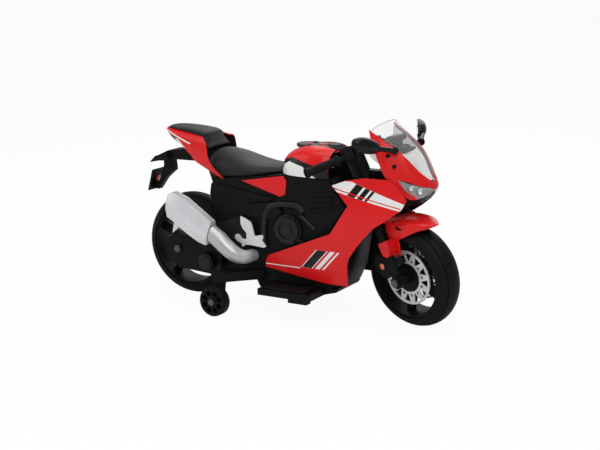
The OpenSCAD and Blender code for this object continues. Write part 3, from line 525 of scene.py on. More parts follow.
class Finishes:
    """The object's finishes by name."""

    red = GlossPanel("red_gloss", "red_plastic", RED)
    side = SideStripes("red_gloss_side_stripes", "red_plastic", RED)
    tank = TankStripes("red_gloss_tank_stripes", "red_plastic", RED)
    tail = TailStripes("red_gloss_tail_stripes", "red_plastic", RED)
    black = Moulded("black_moulded", "black_plastic", (0.005, 0.005, 0.0055), 0.46, 0.05)
    engine = Moulded("black_engine", "black_plastic", (0.0045, 0.0045, 0.005), 0.48, 0.06)
    engine_cover = Moulded(
        "black_engine_cover", "black_plastic", (0.006, 0.006, 0.0065), 0.36, 0.03, gleam=0.25
    )
    gloss_black = Moulded("black_gloss", "black_plastic", (0.005, 0.005, 0.0055), 0.2, 0.01, 2.0, 0.15)
    guard = Moulded("black_guard", "black_plastic", (0.011, 0.011, 0.0115), 0.5, 0.04)
    liner = Moulded("pale_liner", "grey_plastic", (0.84, 0.83, 0.83), 0.4, 0.03)
    inner = Moulded("black_inner", "black_plastic", (0.006, 0.006, 0.0065), 0.6, 0.08, 1.4)
    grey = Moulded("grey_moulded", "grey_plastic", (0.045, 0.046, 0.05), 0.42, 0.04)
    white = Moulded("white_moulded", "white_plastic", (0.72, 0.72, 0.71), 0.35, 0.02)
    button = Moulded("button_gloss", "red_button", (0.6, 0.02, 0.015), 0.3, 0.01, 1.0, 0.3)
    tyre = Moulded("tyre_moulded", "tyre_plastic", (0.005, 0.005, 0.0055), 0.55, 0.05, 1.2)
    grip = Moulded("grip_rubber", "rubber", (0.008, 0.008, 0.008), 0.62, 0.1, 0.8)
    frame = Moulded("black_powder_coat", "black_steel", (0.008, 0.008, 0.0085), 0.36, 0.06, 1.6)
    silver = SilverPaint("silver_paint", "silver_plastic")
    pipe = SilverPaint("silver_pipe", "silver_plastic", (0.46, 0.47, 0.48))
    steel = PlatedSteel("plated_steel", "steel")
    dark_steel = PlatedSteel("dark_plated_steel", "steel", (0.12, 0.12, 0.125), 0.4)
    chrome = PlatedSteel("chrome_reflector", "silver_plastic", (0.72, 0.73, 0.75), 0.12)
    reflector = SilverPaint("silver_reflector", "silver_plastic", (0.09, 0.09, 0.1))
    can = PlatedSteel("motor_painted", "motor_can", (0.03, 0.03, 0.032), 0.5)
    clear = ClearPlastic("screen_clear", "clear_plastic", (0.62, 0.59, 0.59))
    # Rim of the screen in pinkish grey: painted reflection of the red nose in its edge.
    clear_edge_reflection = ClearPlastic("screen_edge", "clear_plastic", (0.42, 0.33, 0.33), 0.45)
    headlight = ClearPlastic("clear_lens", "clear_plastic", (0.8, 0.82, 0.85), 0.18)
    lens = PrismLens("red_prism_lens", "red_lens")
    amber = PrismLens("orange_prism_lens", "red_lens", (0.8, 0.14, 0.05))
    mirror = MirrorGlass("mirror_glass", "mirror")
    cover = Leatherette("seat_leatherette", "seat_cover")


class Side(Enum):
    """Side of the motorcycle, by the sign of Y."""

    RIGHT = -1
    LEFT = 1


class Form:
    """A mesh in the making, in row-frame metres."""

    def __init__(self) -> None:
        """Start empty."""
        self.bm = bmesh.new()

    @classmethod
    def copy_of(cls, *nodes: str) -> Form:
        """Merged copy of CAD nodes."""
        form = cls()
        for node in nodes:
            form.bm.from_mesh(frame["nodes"][node].data)
        bmesh.ops.remove_doubles(form.bm, verts=form.bm.verts, dist=WELD)
        return form

    def outward(self) -> Form:
        """Merge doubles and turn the faces outwards."""
        bmesh.ops.remove_doubles(self.bm, verts=self.bm.verts, dist=WELD)
        bmesh.ops.recalc_face_normals(self.bm, faces=self.bm.faces)
        return self

    def rounded(self, width: float, segments: int = 2, angle: float = 32.0) -> Form:
        """Bevel the sharp edges.

        Args:
            width: width of the bevel in millimetres.
            segments: steps of the bevel.
            angle: edges that turn by more than this many degrees are bevelled.

        Returns:
            This form.
        """
        bmesh.ops.dissolve_limit(
            self.bm, angle_limit=math.radians(0.5), verts=self.bm.verts, edges=self.bm.edges
        )
        limit = math.radians(angle)
        sharp = [e for e in self.bm.edges if e.is_manifold and e.calc_face_angle(0.0) > limit]
        bmesh.ops.bevel(
            self.bm, geom=sharp, offset=width * MM, offset_type="OFFSET", segments=segments, profile=0.5,
            affect="EDGES", clamp_overlap=True, material=-1,
        )
        return self

    def skin(self, rows: Sequence[Sequence[Vector]], across: int, along: int, crisp: bool = False) -> Form:
        """Fine sheet through rows of points.

        Args:
            rows: rows of points, of one length.
            across: faces along a row.
            along: faces from row to row.
            crisp: straight from row to row, so that corners of the outline stay.

        Returns:
            This form.
        """
        made = bmesh.ops.create_grid(self.bm, x_segments=across, y_segments=along, size=1.0)
        between = lerp if crisp else spline
        for vert in made["verts"]:
            u, v = (vert.co.x + 1) / 2, (vert.co.y + 1) / 2
            vert.co = between([spline(row, u) for row in rows], v)
        return self

    def loft(self, rings: Sequence[Sequence[Vector]], around: int, along: int) -> Form:
        """Closed smooth solid through rings of points."""
        self.skin([[*ring, ring[0]] for ring in rings], around, along)
        bmesh.ops.remove_doubles(self.bm, verts=self.bm.verts, dist=1e-5)
        open_edges = [e for e in self.bm.edges if e.is_boundary]
        bmesh.ops.holes_fill(self.bm, edges=open_edges)
        bmesh.ops.recalc_face_normals(self.bm, faces=self.bm.faces)
        return self

    def tube(self, path: Sequence[Vector], radius: float, sides: int) -> Form:
        """Round tube along a smooth path.

        Args:
            path: points of the path.
            radius: radius in millimetres.
            sides: sides of the tube.

        Returns:
            This form.
        """
        count = TUBE_STEPS * (len(path) - 1)
        line = [spline(path, i / count) for i in range(count + 1)]
        for i, spot in enumerate(line):
            ahead = line[min(i + 1, count)] - line[max(i - 1, 0)]
            ring = bmesh.ops.create_circle(
                self.bm, cap_ends=i in (0, count), segments=sides, radius=radius * MM,
                matrix=disc_on(spot, ahead.normalized()),
            )
            edges = {e for v in ring["verts"] for e in v.link_edges}
            if i:
                bmesh.ops.bridge_loops(self.bm, edges=list(edges | before))
            before = edges
        bmesh.ops.recalc_face_normals(self.bm, faces=self.bm.faces)
        return self

    def rod(self, start: Vector, end: Vector, radius: float, far_radius: float) -> Form:
        """Round tapered bar between two points, radii in millimetres."""
        bmesh.ops.create_cone(
            self.bm, cap_ends=True, segments=32, radius1=radius * MM, radius2=far_radius * MM,
            depth=(end - start).length, matrix=disc_on((start + end) / 2, end - start),
        )
        return self

    def prism(self, outline: Sequence[Spot], near: float, far: float) -> Form:
        """Outline in X and Z drawn out along Y."""
        face = self.bm.faces.new([self.bm.verts.new(at(x, near, z)) for x, z in outline])
        made = bmesh.ops.extrude_face_region(self.bm, geom=[face])
        moved = [v for v in made["geom"] if isinstance(v, bmesh.types.BMVert)]
        bmesh.ops.translate(self.bm, verts=moved, vec=Vector((0.0, (far - near) * MM, 0.0)))
        bmesh.ops.recalc_face_normals(self.bm, faces=self.bm.faces)
        return self

    def lathe(self, profile: Sequence[Spot], base: Matrix, steps: int = 64) -> Form:
        """Turn a profile about a matrix's Z axis.

        Args:
            profile: radius and height of its points in millimetres.
            base: frame of the axis in the row frame.
            steps: faces in a full turn.

        Returns:
            This form.
        """
        verts = [self.bm.verts.new(base @ (Vector((r, 0.0, h)) * MM)) for r, h in profile]
        edges = [self.bm.edges.new(ends) for ends in zip(verts, verts[1:])]
        bmesh.ops.spin(
            self.bm, geom=[*verts, *edges], cent=base.translation, axis=base.col[2].to_3d(),
            dvec=(0.0, 0.0, 0.0), angle=math.tau, steps=steps, use_merge=True,
        )
        return self.outward()

    def facing_away(self, spot: Vector) -> Form:
        """Turn an open sheet's faces away from a point inside it."""
        self.bm.normal_update()
        lean = sum((f.calc_center_median() - spot).dot(f.normal) * f.calc_area() for f in self.bm.faces)
        if lean < 0:
            bmesh.ops.reverse_faces(self.bm, faces=self.bm.faces)
        self.bm.normal_update()
        return self

    def carve(self, outline: Sequence[Spot], clear: float) -> Form:
        """Cut an outline in X and Z out of the sheet on both sides.

        Args:
            outline: corners in X and Z.
            clear: faces nearer to the middle plane than this many millimetres stay.

        Returns:
            The faces that came out.
        """
        sides = list(zip(outline, [*outline[1:], outline[0]]))
        planes = [(at(x0, 0, z0), Vector((z1 - z0, 0.0, x0 - x1))) for (x0, z0), (x1, z1) in sides]
        planes += [(at(0, y, 0), Vector((0.0, 1.0, 0.0))) for y in (-clear, clear)]
        for spot, normal in planes:
            geometry = [*self.bm.verts, *self.bm.edges, *self.bm.faces]
            bmesh.ops.bisect_plane(self.bm, geom=geometry, dist=1e-7, plane_co=spot, plane_no=normal)

        def inside(face: bmesh.types.BMFace) -> bool:
            """Whether a face lies in the outline."""
            spot = face.calc_center_median() / MM
            x, z = spot.x + MID_X, spot.z
            crossed = [(z0 > z) != (z1 > z) and x < x0 + (x1 - x0) * (z - z0) / (z1 - z0)
                       for (x0, z0), (x1, z1) in sides]
            return abs(spot.y) > clear and sum(crossed) % 2 == 1

        cut = self.twin()
        bmesh.ops.delete(cut.bm, geom=[f for f in cut.bm.faces if not inside(f)], context="FACES")
        bmesh.ops.delete(self.bm, geom=[f for f in self.bm.faces if inside(f)], context="FACES")
        return cut

    def twin(self) -> Form:
        """Copy of this form."""
        other = Form()
        other.bm.free()
        other.bm = self.bm.copy()
        return other

    def pressed_in(self, depth: float) -> Form:
        """Move every point inwards along its normal by millimetres."""
        self.bm.normal_update()
        shifts = {vert: vert.normal * (depth * MM) for vert in self.bm.verts}
        for vert, shift in shifts.items():
            vert.co -= shift
        return self

    def moved(self, matrix: Matrix) -> Form:
        """Apply a transform."""
        bmesh.ops.transform(self.bm, matrix=matrix, verts=self.bm.verts)
        return self

    def both_sides(self) -> Form:
        """Add the mirror image across the middle plane."""
        geometry = [*self.bm.verts, *self.bm.edges, *self.bm.faces]
        bmesh.ops.mirror(self.bm, geom=geometry, axis="Y", merge_dist=0.0)
        bmesh.ops.recalc_face_normals(self.bm, faces=self.bm.faces)
        return self

    def settle(
        self, name: str, finish: Finish, body: str, stands_for: Iterable[str] = (), crease: float = 38.0
    ) -> bpy.types.Object:
        """Make the piece and hang it on its body.

        Args:
            name: the piece's name.
            finish: its finish.
            body: the CAD body that it rides on.
            stands_for: CAD nodes that it replaces.
            crease: edges that turn by more than this many degrees stay sharp.

        Returns:
            The piece.
        """
        mesh = bpy.data.meshes.new(name)
        self.bm.to_mesh(mesh)
        self.bm.free()
        own_normals = mesh.attributes.get("custom_normal")
        if own_normals is not None:
            mesh.attributes.remove(own_normals)
        mesh.shade_smooth()
        mesh.set_sharp_from_angle(angle=math.radians(crease))
        mesh.materials.append(finish.material())
        piece = bpy.data.objects.new(name, mesh)
        bpy.context.scene.collection.objects.link(piece)
        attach(piece, body)
        if stands_for:
            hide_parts(*stands_for)
        LOG.info("%s: %d faces on %s", name, len(mesh.polygons), body)
        return piece


def weigh_normals(piece: bpy.types.Object) -> bpy.types.Object:
    """Let large faces set the shading beside their bevels."""
    modifier = piece.modifiers.new("weighted_normals", "WEIGHTED_NORMAL")
    modifier.keep_sharp = True
    modifier.weight = 80
    return piece


def wall(
    piece: bpy.types.Object, thickness: float, edge: float, inner: Finish | None = None
) -> bpy.types.Object:
    """Give a sheet its wall and rounded rim.

    Args:
        piece: the sheet, with its faces outwards.
        thickness: wall in millimetres, inwards.
        edge: bevel of the rim in millimetres.
        inner: finish of the inner face, where it differs.

    Returns:
        The piece.
    """
    solid = piece.modifiers.new("wall", "SOLIDIFY")
    solid.thickness = thickness * MM
    solid.offset = -1.0
    solid.use_quality_normals = True
    if inner is not None:
        piece.data.materials.append(inner.material())
        solid.material_offset = 1
    rim = piece.modifiers.new("rim", "BEVEL")
    rim.width = edge * MM
    rim.segments = 2
    rim.limit_method = "ANGLE"
    rim.angle_limit = math.radians(50)
    return weigh_normals(piece)


def dress(finish: Finish, edge: float, segments: int, *nodes: str, angle: float = 32.0) -> None:
    """Stand copies with rounded edges in for CAD nodes.

    Args:
        finish: their finish.
        edge: width of the rounded edges in millimetres.
        segments: steps of the rounding.
        nodes: the CAD nodes.
        angle: edges that turn by more than this many degrees are rounded.
    """
    for node in nodes:
        form = Form.copy_of(node).rounded(edge, segments, angle)
        weigh_normals(form.settle(node + "_piece", finish, NODE_BODY[node], [node]))


@dataclass
class Steering:
    """Frame of the steered pieces: Z up the steering axis, origin at the upper yoke."""

    rake: float = 26.0
    turn: float = 18.0
    wheelbase: float = 708.0
    wheel_radius: float = 144.0
    offset: float = 28.0
    length: float = 385.0
    leg_y: float = 61.0
    bar_turn: float = -109.0
    bar_drop: float = 25.0

    def matrix(self) -> Matrix:
        """Row-frame matrix of the steered frame."""
        lean = math.radians(self.rake)
        head_x = self.wheelbase - self.offset * math.cos(lean) - self.length * math.sin(lean)
        head_z = self.wheel_radius - self.offset * math.sin(lean) + self.length * math.cos(lean)
        place = Matrix.Translation(at(head_x, 0, head_z))
        return place @ Matrix.Rotation(-lean, 4, "Y") @ Matrix.Rotation(-math.radians(self.turn), 4, "Z")

    def axle(self) -> Matrix:
        """Row-frame matrix of the front axle, Z up the fork."""
        return self.matrix() @ Matrix.Translation(Vector((self.offset, 0.0, -self.length)) * MM)

    def side_disc(self, x: float, y: float, z: float) -> Matrix:
        """Frame at a point counted from the front axle whose Z points out to that point's side."""
        outward = Matrix.Rotation(math.radians(90 if y < 0 else -90), 4, "X")
        return self.axle() @ Matrix.Translation(Vector((x, y, z)) * MM) @ outward

    def bar(self, side: Side) -> Matrix:
        """Frame at the fork tube's handlebar clamp whose Z runs out along the bar."""
        sign = side.value
        clamp = Matrix.Translation(Vector((self.offset, sign * self.leg_y, -self.bar_drop)) * MM)
        turn = Matrix.Rotation(math.radians(-sign * self.bar_turn), 4, "Z")
        return self.matrix() @ clamp @ turn @ Matrix.Rotation(math.radians(90), 4, "Y")


@dataclass
class Wheels:
    """Road wheels, stabiliser wheels and what turns with them."""

    steering: Steering = field(default_factory=Steering)
    rear_radius: float = 150.0
    wall_radius: float = 60.0
    wall_drop: float = 30.0
    wall_back: float = 16.0
    crown: float = 44.4
    ring_insets: tuple[float, ...] = (18.0, 23.0, 27.5)
    ring_bead: float = 0.8
    edge: float = 1.2

    def build(self) -> None:
        """Dress tyres, rims, discs and small wheels."""
        dress(Finishes.tyre, self.edge, 3, "rear_tyre", "front_tyre")
        upright = Matrix.Rotation(math.radians(90), 4, "X")
        rear_axle = Matrix.Translation(at(0, 0, self.rear_radius))
        self.rings("rear_tyre_rings", rear_axle @ upright, self.rear_radius)
        self.rings("front_tyre_rings", self.steering.axle() @ upright, self.steering.wheel_radius)
        dress(Finishes.black, 2.0, 3, "rear_rim", "front_rim")
        dress(Finishes.silver, 0.5, 2, "brake_discs")
        dress(Finishes.white, 0.5, 2, "drive_dog")
        dress(Finishes.black, self.edge, 3, "stabiliser_wheel_right", "stabiliser_wheel_left")

    def rings(self, name: str, base: Matrix, radius: float) -> None:
        """Fine raised rings on both sidewalls of a tyre.

        Args:
            name: name of the piece; its tyre comes first in it.
            base: frame of the axle, Z along it.
            radius: radius of the tyre in millimetres.
        """
        form = Form()
        for inset in self.ring_insets:
            r = radius - inset
            flank = math.sqrt(self.wall_radius ** 2 - (self.wall_drop - inset) ** 2) - self.wall_back
            side = min(flank, math.sqrt(self.crown ** 2 - (self.crown - inset) ** 2))
            for sign in (-1, 1):
                bead = [(r + self.ring_bead * math.cos(t), sign * side + self.ring_bead * 0.6 * math.sin(t))
                        for t in (math.tau * k / 8 for k in range(9))]
                form.lathe(bead, base, 96)
        form.settle(name, Finishes.tyre, NODE_BODY[name.removesuffix("_rings")])


@dataclass
class Drive:
    """Frame, drive and the hidden pieces."""

    def build(self) -> None:
        """Dress the frame, the arms, the gearbox and the battery."""
        dress(Finishes.dark_steel, 0.6, 2, "rear_axle", "stabiliser_bolts")
        dress(Finishes.can, 1.0, 2, "motor")
        dress(Finishes.black, 1.6, 3, "rear_fork_right", "rear_fork_left", "gearbox_housing")
        dress(Finishes.black, 2.0, 3, "stabiliser_arm_right", "stabiliser_arm_left")
        dress(Finishes.frame, 0.8, 2, "frame_spine")
        dress(Finishes.grey, 0.8, 2, "battery")
        dress(Finishes.grey, 1.2, 2, "control_unit")


@dataclass
class Fork:
    """Steered fork, handlebars and front fender."""

    steering: Steering = field(default_factory=Steering)
    fender_rows: tuple[tuple[float, float, float, float], ...] = (
        (34, 185, 180, 5), (38, 180, 166, 20), (45, 175, 150, 37), (54, 171, 130, 47),
        (66, 169, 114, 48.8), (76, 167, 108, 48.8), (84, 165, 116, 48.8),
    )
    fender_section: tuple[Spot, ...] = (
        (-1, 0), (-1, 0.55), (-0.84, 0.86), (-0.45, 0.98), (0, 1),
        (0.45, 0.98), (0.84, 0.86), (1, 0.55), (1, 0),
    )
    fender_leg: tuple[Spot, ...] = (
        (18, 164), (44, 158), (50, 130), (40, 90), (24, 50), (14, 44), (14, 90), (20, 130),
    )
    fender_slot: tuple[Spot, ...] = ((34, 149), (50, 142), (75, 124), (60, 126), (38, 139))
    slot_clear: float = 20.0
    slot_depth: float = 1.8
    fender_wall: float = 2.4
    leg_near: float = -48.9
    leg_far: float = -46.2
    grip_radius: float = 12.0
    grip_bore: float = 8.1
    grip_length: float = 101.0
    grip_start: float = 30.0
    grip_ribs: int = 13
    rib_depth: float = 0.9
    inner_flange: tuple[Spot, ...] = ((3, 0), (4, 1), (4, 5), (3, 6), (0, 7))
    outer_flange: tuple[Spot, ...] = ((0, -9), (1.4, -8), (2, -7), (2, -1), (1, 0))
    grip_end: tuple[Spot, ...] = ((7.5, 0), (7.5, -3), (0, -3))
    reflector_at: tuple[float, float, float] = (-26.0, 73.0, 54.0)
    reflector_lens: tuple[Spot, ...] = ((0, 3.4), (5, 3.2), (8.4, 2.4), (8.6, 0.5), (0, 0.5))
    reflector_cup: tuple[Spot, ...] = (
        (8.7, 1.2), (9.0, 3.2), (10.6, 3.2), (11.4, 2.2), (12.0, -0.5), (8.7, -0.5), (8.7, 1.2),
    )

    def build(self) -> None:
        """Dress the fork and make grips, reflectors and fender."""
        dress(Finishes.steel, 0.8, 2, "steering_stem")
        dress(Finishes.black, 1.6, 3, "fork_yokes")
        dress(Finishes.gloss_black, 0.8, 2, "fork_tubes")
        dress(Finishes.black, 1.6, 3, "fork_lowers")
        dress(Finishes.red, 2.0, 3, "fork_guards")
        dress(Finishes.dark_steel, 0.8, 2, "front_axle")
        dress(Finishes.black, 1.0, 2, "handlebars")
        self.grips()
        self.reflectors()
        self.fender()

    def grips(self) -> None:
        """Ribbed grips with a flange at each end."""
        r, start = self.grip_radius, self.grip_start
        end = start + self.grip_length
        profile = [(self.grip_bore, start), *((r + out, start + up) for out, up in self.inner_flange)]
        pitch = (self.grip_length - 20) / self.grip_ribs
        for k in range(self.grip_ribs):
            low, groove = start + 8 + k * pitch, r - self.rib_depth
            profile += [(groove, low), (groove, low + 0.35 * pitch)]
            profile += [(r, low + 0.5 * pitch), (r, low + 0.9 * pitch)]
        profile += [(r + out, end + up) for out, up in self.outer_flange]
        profile += [(radius, end + up) for radius, up in self.grip_end]
        form = Form()
        for side in Side:
            form.lathe(profile, self.steering.bar(side), 40)
        form.settle("grips_piece", Finishes.grip, "steering", ["grips"], 50.0)

    def reflectors(self) -> None:
        """Round orange reflector in a black cup on each fork lower."""
        lens, cup = Form(), Form()
        x, out, z = self.reflector_at
        for y in (-out, out):
            base = self.steering.side_disc(x, y, z)
            lens.lathe(self.reflector_lens, base, 40)
            cup.lathe(self.reflector_cup, base, 40)
        lens.settle("fork_reflectors", Finishes.amber, "steering")
        cup.settle("fork_reflector_cups", Finishes.black, "steering")

    def fender(self) -> None:
        """Crowned fender with a leg down to each fork lower, and shallow pressed-in slots coloured black as
        painted shade.
        """
        rows = []
        for angle, crown, skirt, half in self.fender_rows:
            c, s = math.cos(math.radians(angle)), math.sin(math.radians(angle))
            radii = [(skirt + (crown - skirt) * rise, across * half) for across, rise in self.fender_section]
            rows.append([at(r * c, y, r * s) for r, y in radii])
        place = self.steering.axle() @ Matrix.Translation((MID_X * MM, 0.0, 0.0))
        shell = Form().skin(rows, 48, 56).facing_away(at(0, 0, 0))
        slots = shell.carve(self.fender_slot, self.slot_clear).pressed_in(self.slot_depth).moved(place)
        shell.moved(place)
        piece = shell.settle("front_fender_piece", Finishes.red, "steering", ["front_fender"])
        wall(piece, self.fender_wall, 0.7, Finishes.inner)
        # Slot faces in the black inner finish: painted shade for the depth of the slots.
        wall(slots.settle("front_fender_slots_painted_shade", Finishes.inner, "steering"), 0.8, 0.2)
        legs = Form().prism(self.fender_leg, self.leg_near, self.leg_far).both_sides().rounded(0.8, 2)
        weigh_normals(legs.moved(place).settle("front_fender_legs", Finishes.red, "steering"))


@dataclass
class Body:
    """Black body with the engine relief, foot pieces and covers."""

    bolt_spots: tuple[Spot, ...] = ((384, 376), (470, 376), (508, 322), (474, 262), (432, 246), (392, 318))
    bolt: tuple[Spot, ...] = (
        (0, 1.2), (2.4, 1.2), (2.6, 2.8), (4.6, 2.8), (5.2, 2.2), (5.4, -0.5), (0, -0.5),
    )
    plate_face: float = -83.0
    arch: tuple[Spot, ...] = (
        (279, 182), (278, 214), (279, 246), (284, 276), (296, 298),
        (318, 309), (350, 312), (384, 311), (404, 296),
    )
    arch_y: float = -80.0
    arch_radius: float = 9.5
    strut: tuple[Spot, ...] = ((398, 286), (412, 275), (426, 264), (441, 251))
    strut_radius: float = 6.0
    guard: tuple[Spot, ...] = (
        (119, 232), (150, 246), (209, 266), (212, 248), (221, 232), (229, 224),
        (231, 206), (216, 206), (206, 214), (196, 212), (192, 200), (164, 196),
    )
    guard_near: float = -92.05
    guard_far: float = -89.4

    def build(self) -> None:
        """Dress the shells, covers and boards."""
        dress(Finishes.engine, 1.6, 3, "body_half_right", "body_half_left")
        dress(Finishes.engine_cover, 1.2, 3, "engine_covers")
        dress(Finishes.black, 2.0, 3, "belly_pan", "footboard_right", "footboard_left")
        dress(Finishes.black, 1.0, 2, "foot_pedal", "radiator_cover")
        dress(Finishes.silver, 1.8, 4, "heel_plates")
        dress(Finishes.red, 1.2, 3, "side_covers")
        self.bolts()
        self.relief()

    def relief(self) -> None:
        """Crankcase arch and strut on each side, and the guards behind the heel plates."""
        form = Form().tube([at(x, self.arch_y, z) for x, z in self.arch], self.arch_radius, 20)
        form.tube([at(x, self.plate_face, z) for x, z in self.strut], self.strut_radius, 16)
        form.both_sides().settle("engine_relief", Finishes.engine_cover, "body")
        guards = Form().prism(self.guard, self.guard_near, self.guard_far).both_sides().rounded(0.8, 2)
        weigh_normals(guards.settle("heel_guards", Finishes.guard, "body"))

    def bolts(self) -> None:
        """Socket bolts around the frame plate."""
        form = Form()
        for x, z in self.bolt_spots:
            form.lathe(self.bolt, disc_on(at(x, self.plate_face, z), Vector((0.0, -1.0, 0.0))), 24)
        form.both_sides().settle("frame_plate_bolts", Finishes.black, "body")


@dataclass
class Fairings:
    """Side panels, nose, screen, lamps and mirrors."""

    half_width: float = 118.0
    bow_from: float = 540.0
    front_bow: Spot = (26.0, 200.0)
    rear_bow: Spot = (14.0, 250.0)
    lean_from: float = 290.0
    lean: Spot = (24.0, 180.0)
    panel: float = 3.0
    panel_columns: int = 14
    panel_steps: int = 6
    side_rows: tuple[tuple[float, float, float], ...] = (
        (108, 480, 546), (118, 392, 548), (130, 286, 550), (150, 290, 551), (166, 300, 552), (190, 356, 558),
        (216, 418, 576), (234, 458, 590), (253, 504, 606), (282, 523, 632), (312, 542, 676), (336, 557, 706),
        (362, 532, 718), (386, 507, 702), (403, 550, 684), (413, 600, 668),
    )
    bosses: tuple[Spot, ...] = ((330, 142), (470, 142), (515, 262), (512, 380))
    boss_radii: Spot = (7.0, 6.6)
    boss_sink: float = 2.0
    body_face: float = -78.1
    nose_top: tuple[tuple[float, float, float], ...] = (
        (756, 0, 401), (748, 20, 411), (730, 41, 432), (707, 57, 461), (680, 68, 487), (634, 76, 517),
        (598, 77.5, 539),
    )
    nose_low: tuple[tuple[float, float, float], ...] = (
        (758, 0, 378), (754, 24, 370), (742, 47, 363), (722, 66, 360), (704, 80, 370), (676, 90, 396),
        (652, 89, 418),
    )
    bulge: float = 5.0
    flank_bulge: float = -2.0
    tip_columns: int = 4
    headlight: tuple[Spot, ...] = (
        (687, 414), (716, 405), (742, 394), (758, 389), (764, 374), (756, 350), (738, 350), (729, 367),
        (705, 387),
    )
    headlight_y: float = 6.0
    lens_inset: float = 0.9
    reflector_inset: float = 7.0
    lamps: tuple[tuple[float, float, float, float], ...] = ((733, 52, 382, 8.5), (714, 66, 391, 7.0))
    lamp_aim: tuple[float, float, float] = (0.82, 0.5, 0.1)
    # Line of the black tube that paints shade along each headlight's top edge; the pale strip runs just below
    # it.
    brow: tuple[tuple[float, float, float], ...] = (
        (689, 80, 412.5), (716, 69, 404), (742, 44, 393), (755, 20, 389), (760.5, 7, 387.5),
    )
    screws: tuple[tuple[float, float, float], ...] = ((657.3, 82.4, 474.5), (677.1, 84.6, 448.1))
    screw: tuple[Spot, ...] = (
        (0, 0.9), (2.6, 1.0), (3.0, 0.4), (4.4, 0.6), (4.8, 1.4), (5.4, 1.0), (5.6, -2.0), (0, -2.0),
    )
    screen_rim: tuple[tuple[float, float, float], ...] = (
        (747, 15, 408), (725, 36, 429), (703, 52, 457), (676, 63, 482), (632, 71.5, 512), (600, 73, 533),
    )
    screen_ridge: tuple[Spot, ...] = ((752, 410), (748, 436), (724, 470), (690, 502), (650, 534), (623, 555))
    screen_wall: float = 1.9
    screen_columns: int = 12
    screen_edge: float = 1.1
    gauge_x: float = 652.0
    gauges: tuple[tuple[float, float, float], ...] = ((0, 22, 485), (-38, 12, 484), (38, 12, 484))
    bezel: tuple[Spot, ...] = ((-2.5, 0.2), (-2.2, 2.2), (-0.6, 2.6), (0, 1.6), (0, 0.05), (-2.5, 0.2))
    gauge_face: float = 2.6
    display: tuple[Spot, ...] = (
        (638, 480), (648, 480), (650, 500), (662, 506), (656, 519), (624, 514), (629, 503), (640, 500),
    )
    display_half: float = 27.0
    liner_gap: float = 1.8
    liner_sag: float = 6.0
    liner_drop: tuple[float, ...] = (20.0, 62.0, 66.0)
    liner_wall: float = 1.5
    mirror_at: tuple[float, float, float] = (633, -162, 511)
    mirror_along: tuple[float, float, float] = (-40, -81, 26)
    mirror_half: float = 47.0
    mirror_depth: float = 22.0
    mirror_rise: float = 21.0
    mirror_face: float = 3.0
    stalk_foot: tuple[float, float, float] = (678, -80, 489)
    stalk_knee: tuple[float, float, float] = (656, -136, 501)
    stalk_radius: float = 7.0
    stalk_base_at: tuple[float, float, float] = (678.6, -78.4, 488.4)
    stalk_base_aim: tuple[float, float, float] = (-3.6, -7.6, 3.6)
    stalk_base: tuple[Spot, ...] = ((0, 0), (10.6, 0), (11, 0.6), (11, 5), (10.4, 7.4), (8.6, 9), (0, 9.2))

    def build(self) -> None:
        """Make the panels, lamps and mirrors."""
        for side in Side:
            self.side_panel(side)
        self.nose()
        self.screen()
        dress(Finishes.black, 0.8, 2, "nose_chin")
        self.dash()
        self.liners()
        self.mirrors()

    def side_y(self, x: float, z: float) -> float:
        """Distance of the side panel from the middle plane."""
        bow, length = self.front_bow if x > self.bow_from else self.rear_bow
        lean, height = self.lean
        inward = bow * ((x - self.bow_from) / length) ** 2 + lean * ((z - self.lean_from) / height) ** 2
        return self.half_width - inward

    def side_panel(self, side: Side) -> None:
        """Large coloured panel with a black inner face and its bosses."""
        sign = side.value
        rows, columns, steps = [], self.panel_columns, self.panel_steps
        for low, high in zip(self.side_rows, self.side_rows[1:]):
            for k in range(steps):
                z, rear, front = (a + (b - a) * k / steps for a, b in zip(low, high))
                rows.append((z, rear, front))
        rows.append(self.side_rows[-1])
        grid = [[at(x, sign * self.side_y(x, z), z)
                 for x in (rear + (front - rear) * j / columns for j in range(columns + 1))]
                for z, rear, front in rows]
        name = "side_fairing_" + side.name.lower()
        sheet = Form().skin(grid, 56, len(rows) - 1, True).facing_away(at(480, 0, 270))
        wall(sheet.settle(name + "_piece", Finishes.side, "body", [name]), self.panel, 0.9, Finishes.inner)
        posts = Form()
        for x, z in self.bosses:
            outer, inner = self.side_y(x, z) - self.boss_sink, -self.body_face
            posts.rod(at(x, sign * outer, z), at(x, sign * inner, z), *self.boss_radii)
        posts.settle(name + "_bosses", Finishes.inner, "body")

    def nose_rows(self) -> list[list[Vector]]:
        """Rows of the nose from its lower edge to its upper edge."""
        rows = []
        for v in (0.0, 0.2, 0.4, 0.6, 0.8, 1.0):
            bulge = 4 * v * (1 - v)
            row = []
            for k, (low, high) in enumerate(zip(self.nose_low, self.nose_top)):
                x, y, z = (a + (b - a) * v for a, b in zip(low, high))
                ahead = self.bulge if k < self.tip_columns else self.flank_bulge
                row.append((x + ahead * bulge, y + (self.bulge * bulge if k else 0), z))
            right = [at(x, -y, z) for x, y, z in reversed(row)]
            rows.append(right + [at(x, y, z) for x, y, z in row[1:]])
        return rows

    def nose(self) -> None:
        """Nose with the headlights let into it."""
        inside = at(690, 0, 420)
        shell = Form().skin(self.nose_rows(), 108, 40).facing_away(inside)
        lenses = shell.carve(self.headlight, self.headlight_y)
        bowls = lenses.twin()
        piece = shell.settle("nose_fairing_piece", Finishes.red, "body", ["nose_fairing"])
        wall(piece, self.panel, 0.8, Finishes.inner)
        lenses.pressed_in(self.lens_inset)
        piece = lenses.settle("headlight_lenses_piece", Finishes.headlight, "body", ["headlight_lenses"])
        wall(piece, 1.4, 0.3)
        bowls.pressed_in(self.reflector_inset)
        wall(bowls.settle("headlight_reflectors", Finishes.reflector, "body"), 1.2, 0.3)
        self.headlight_lamps()
        self.nose_screws()

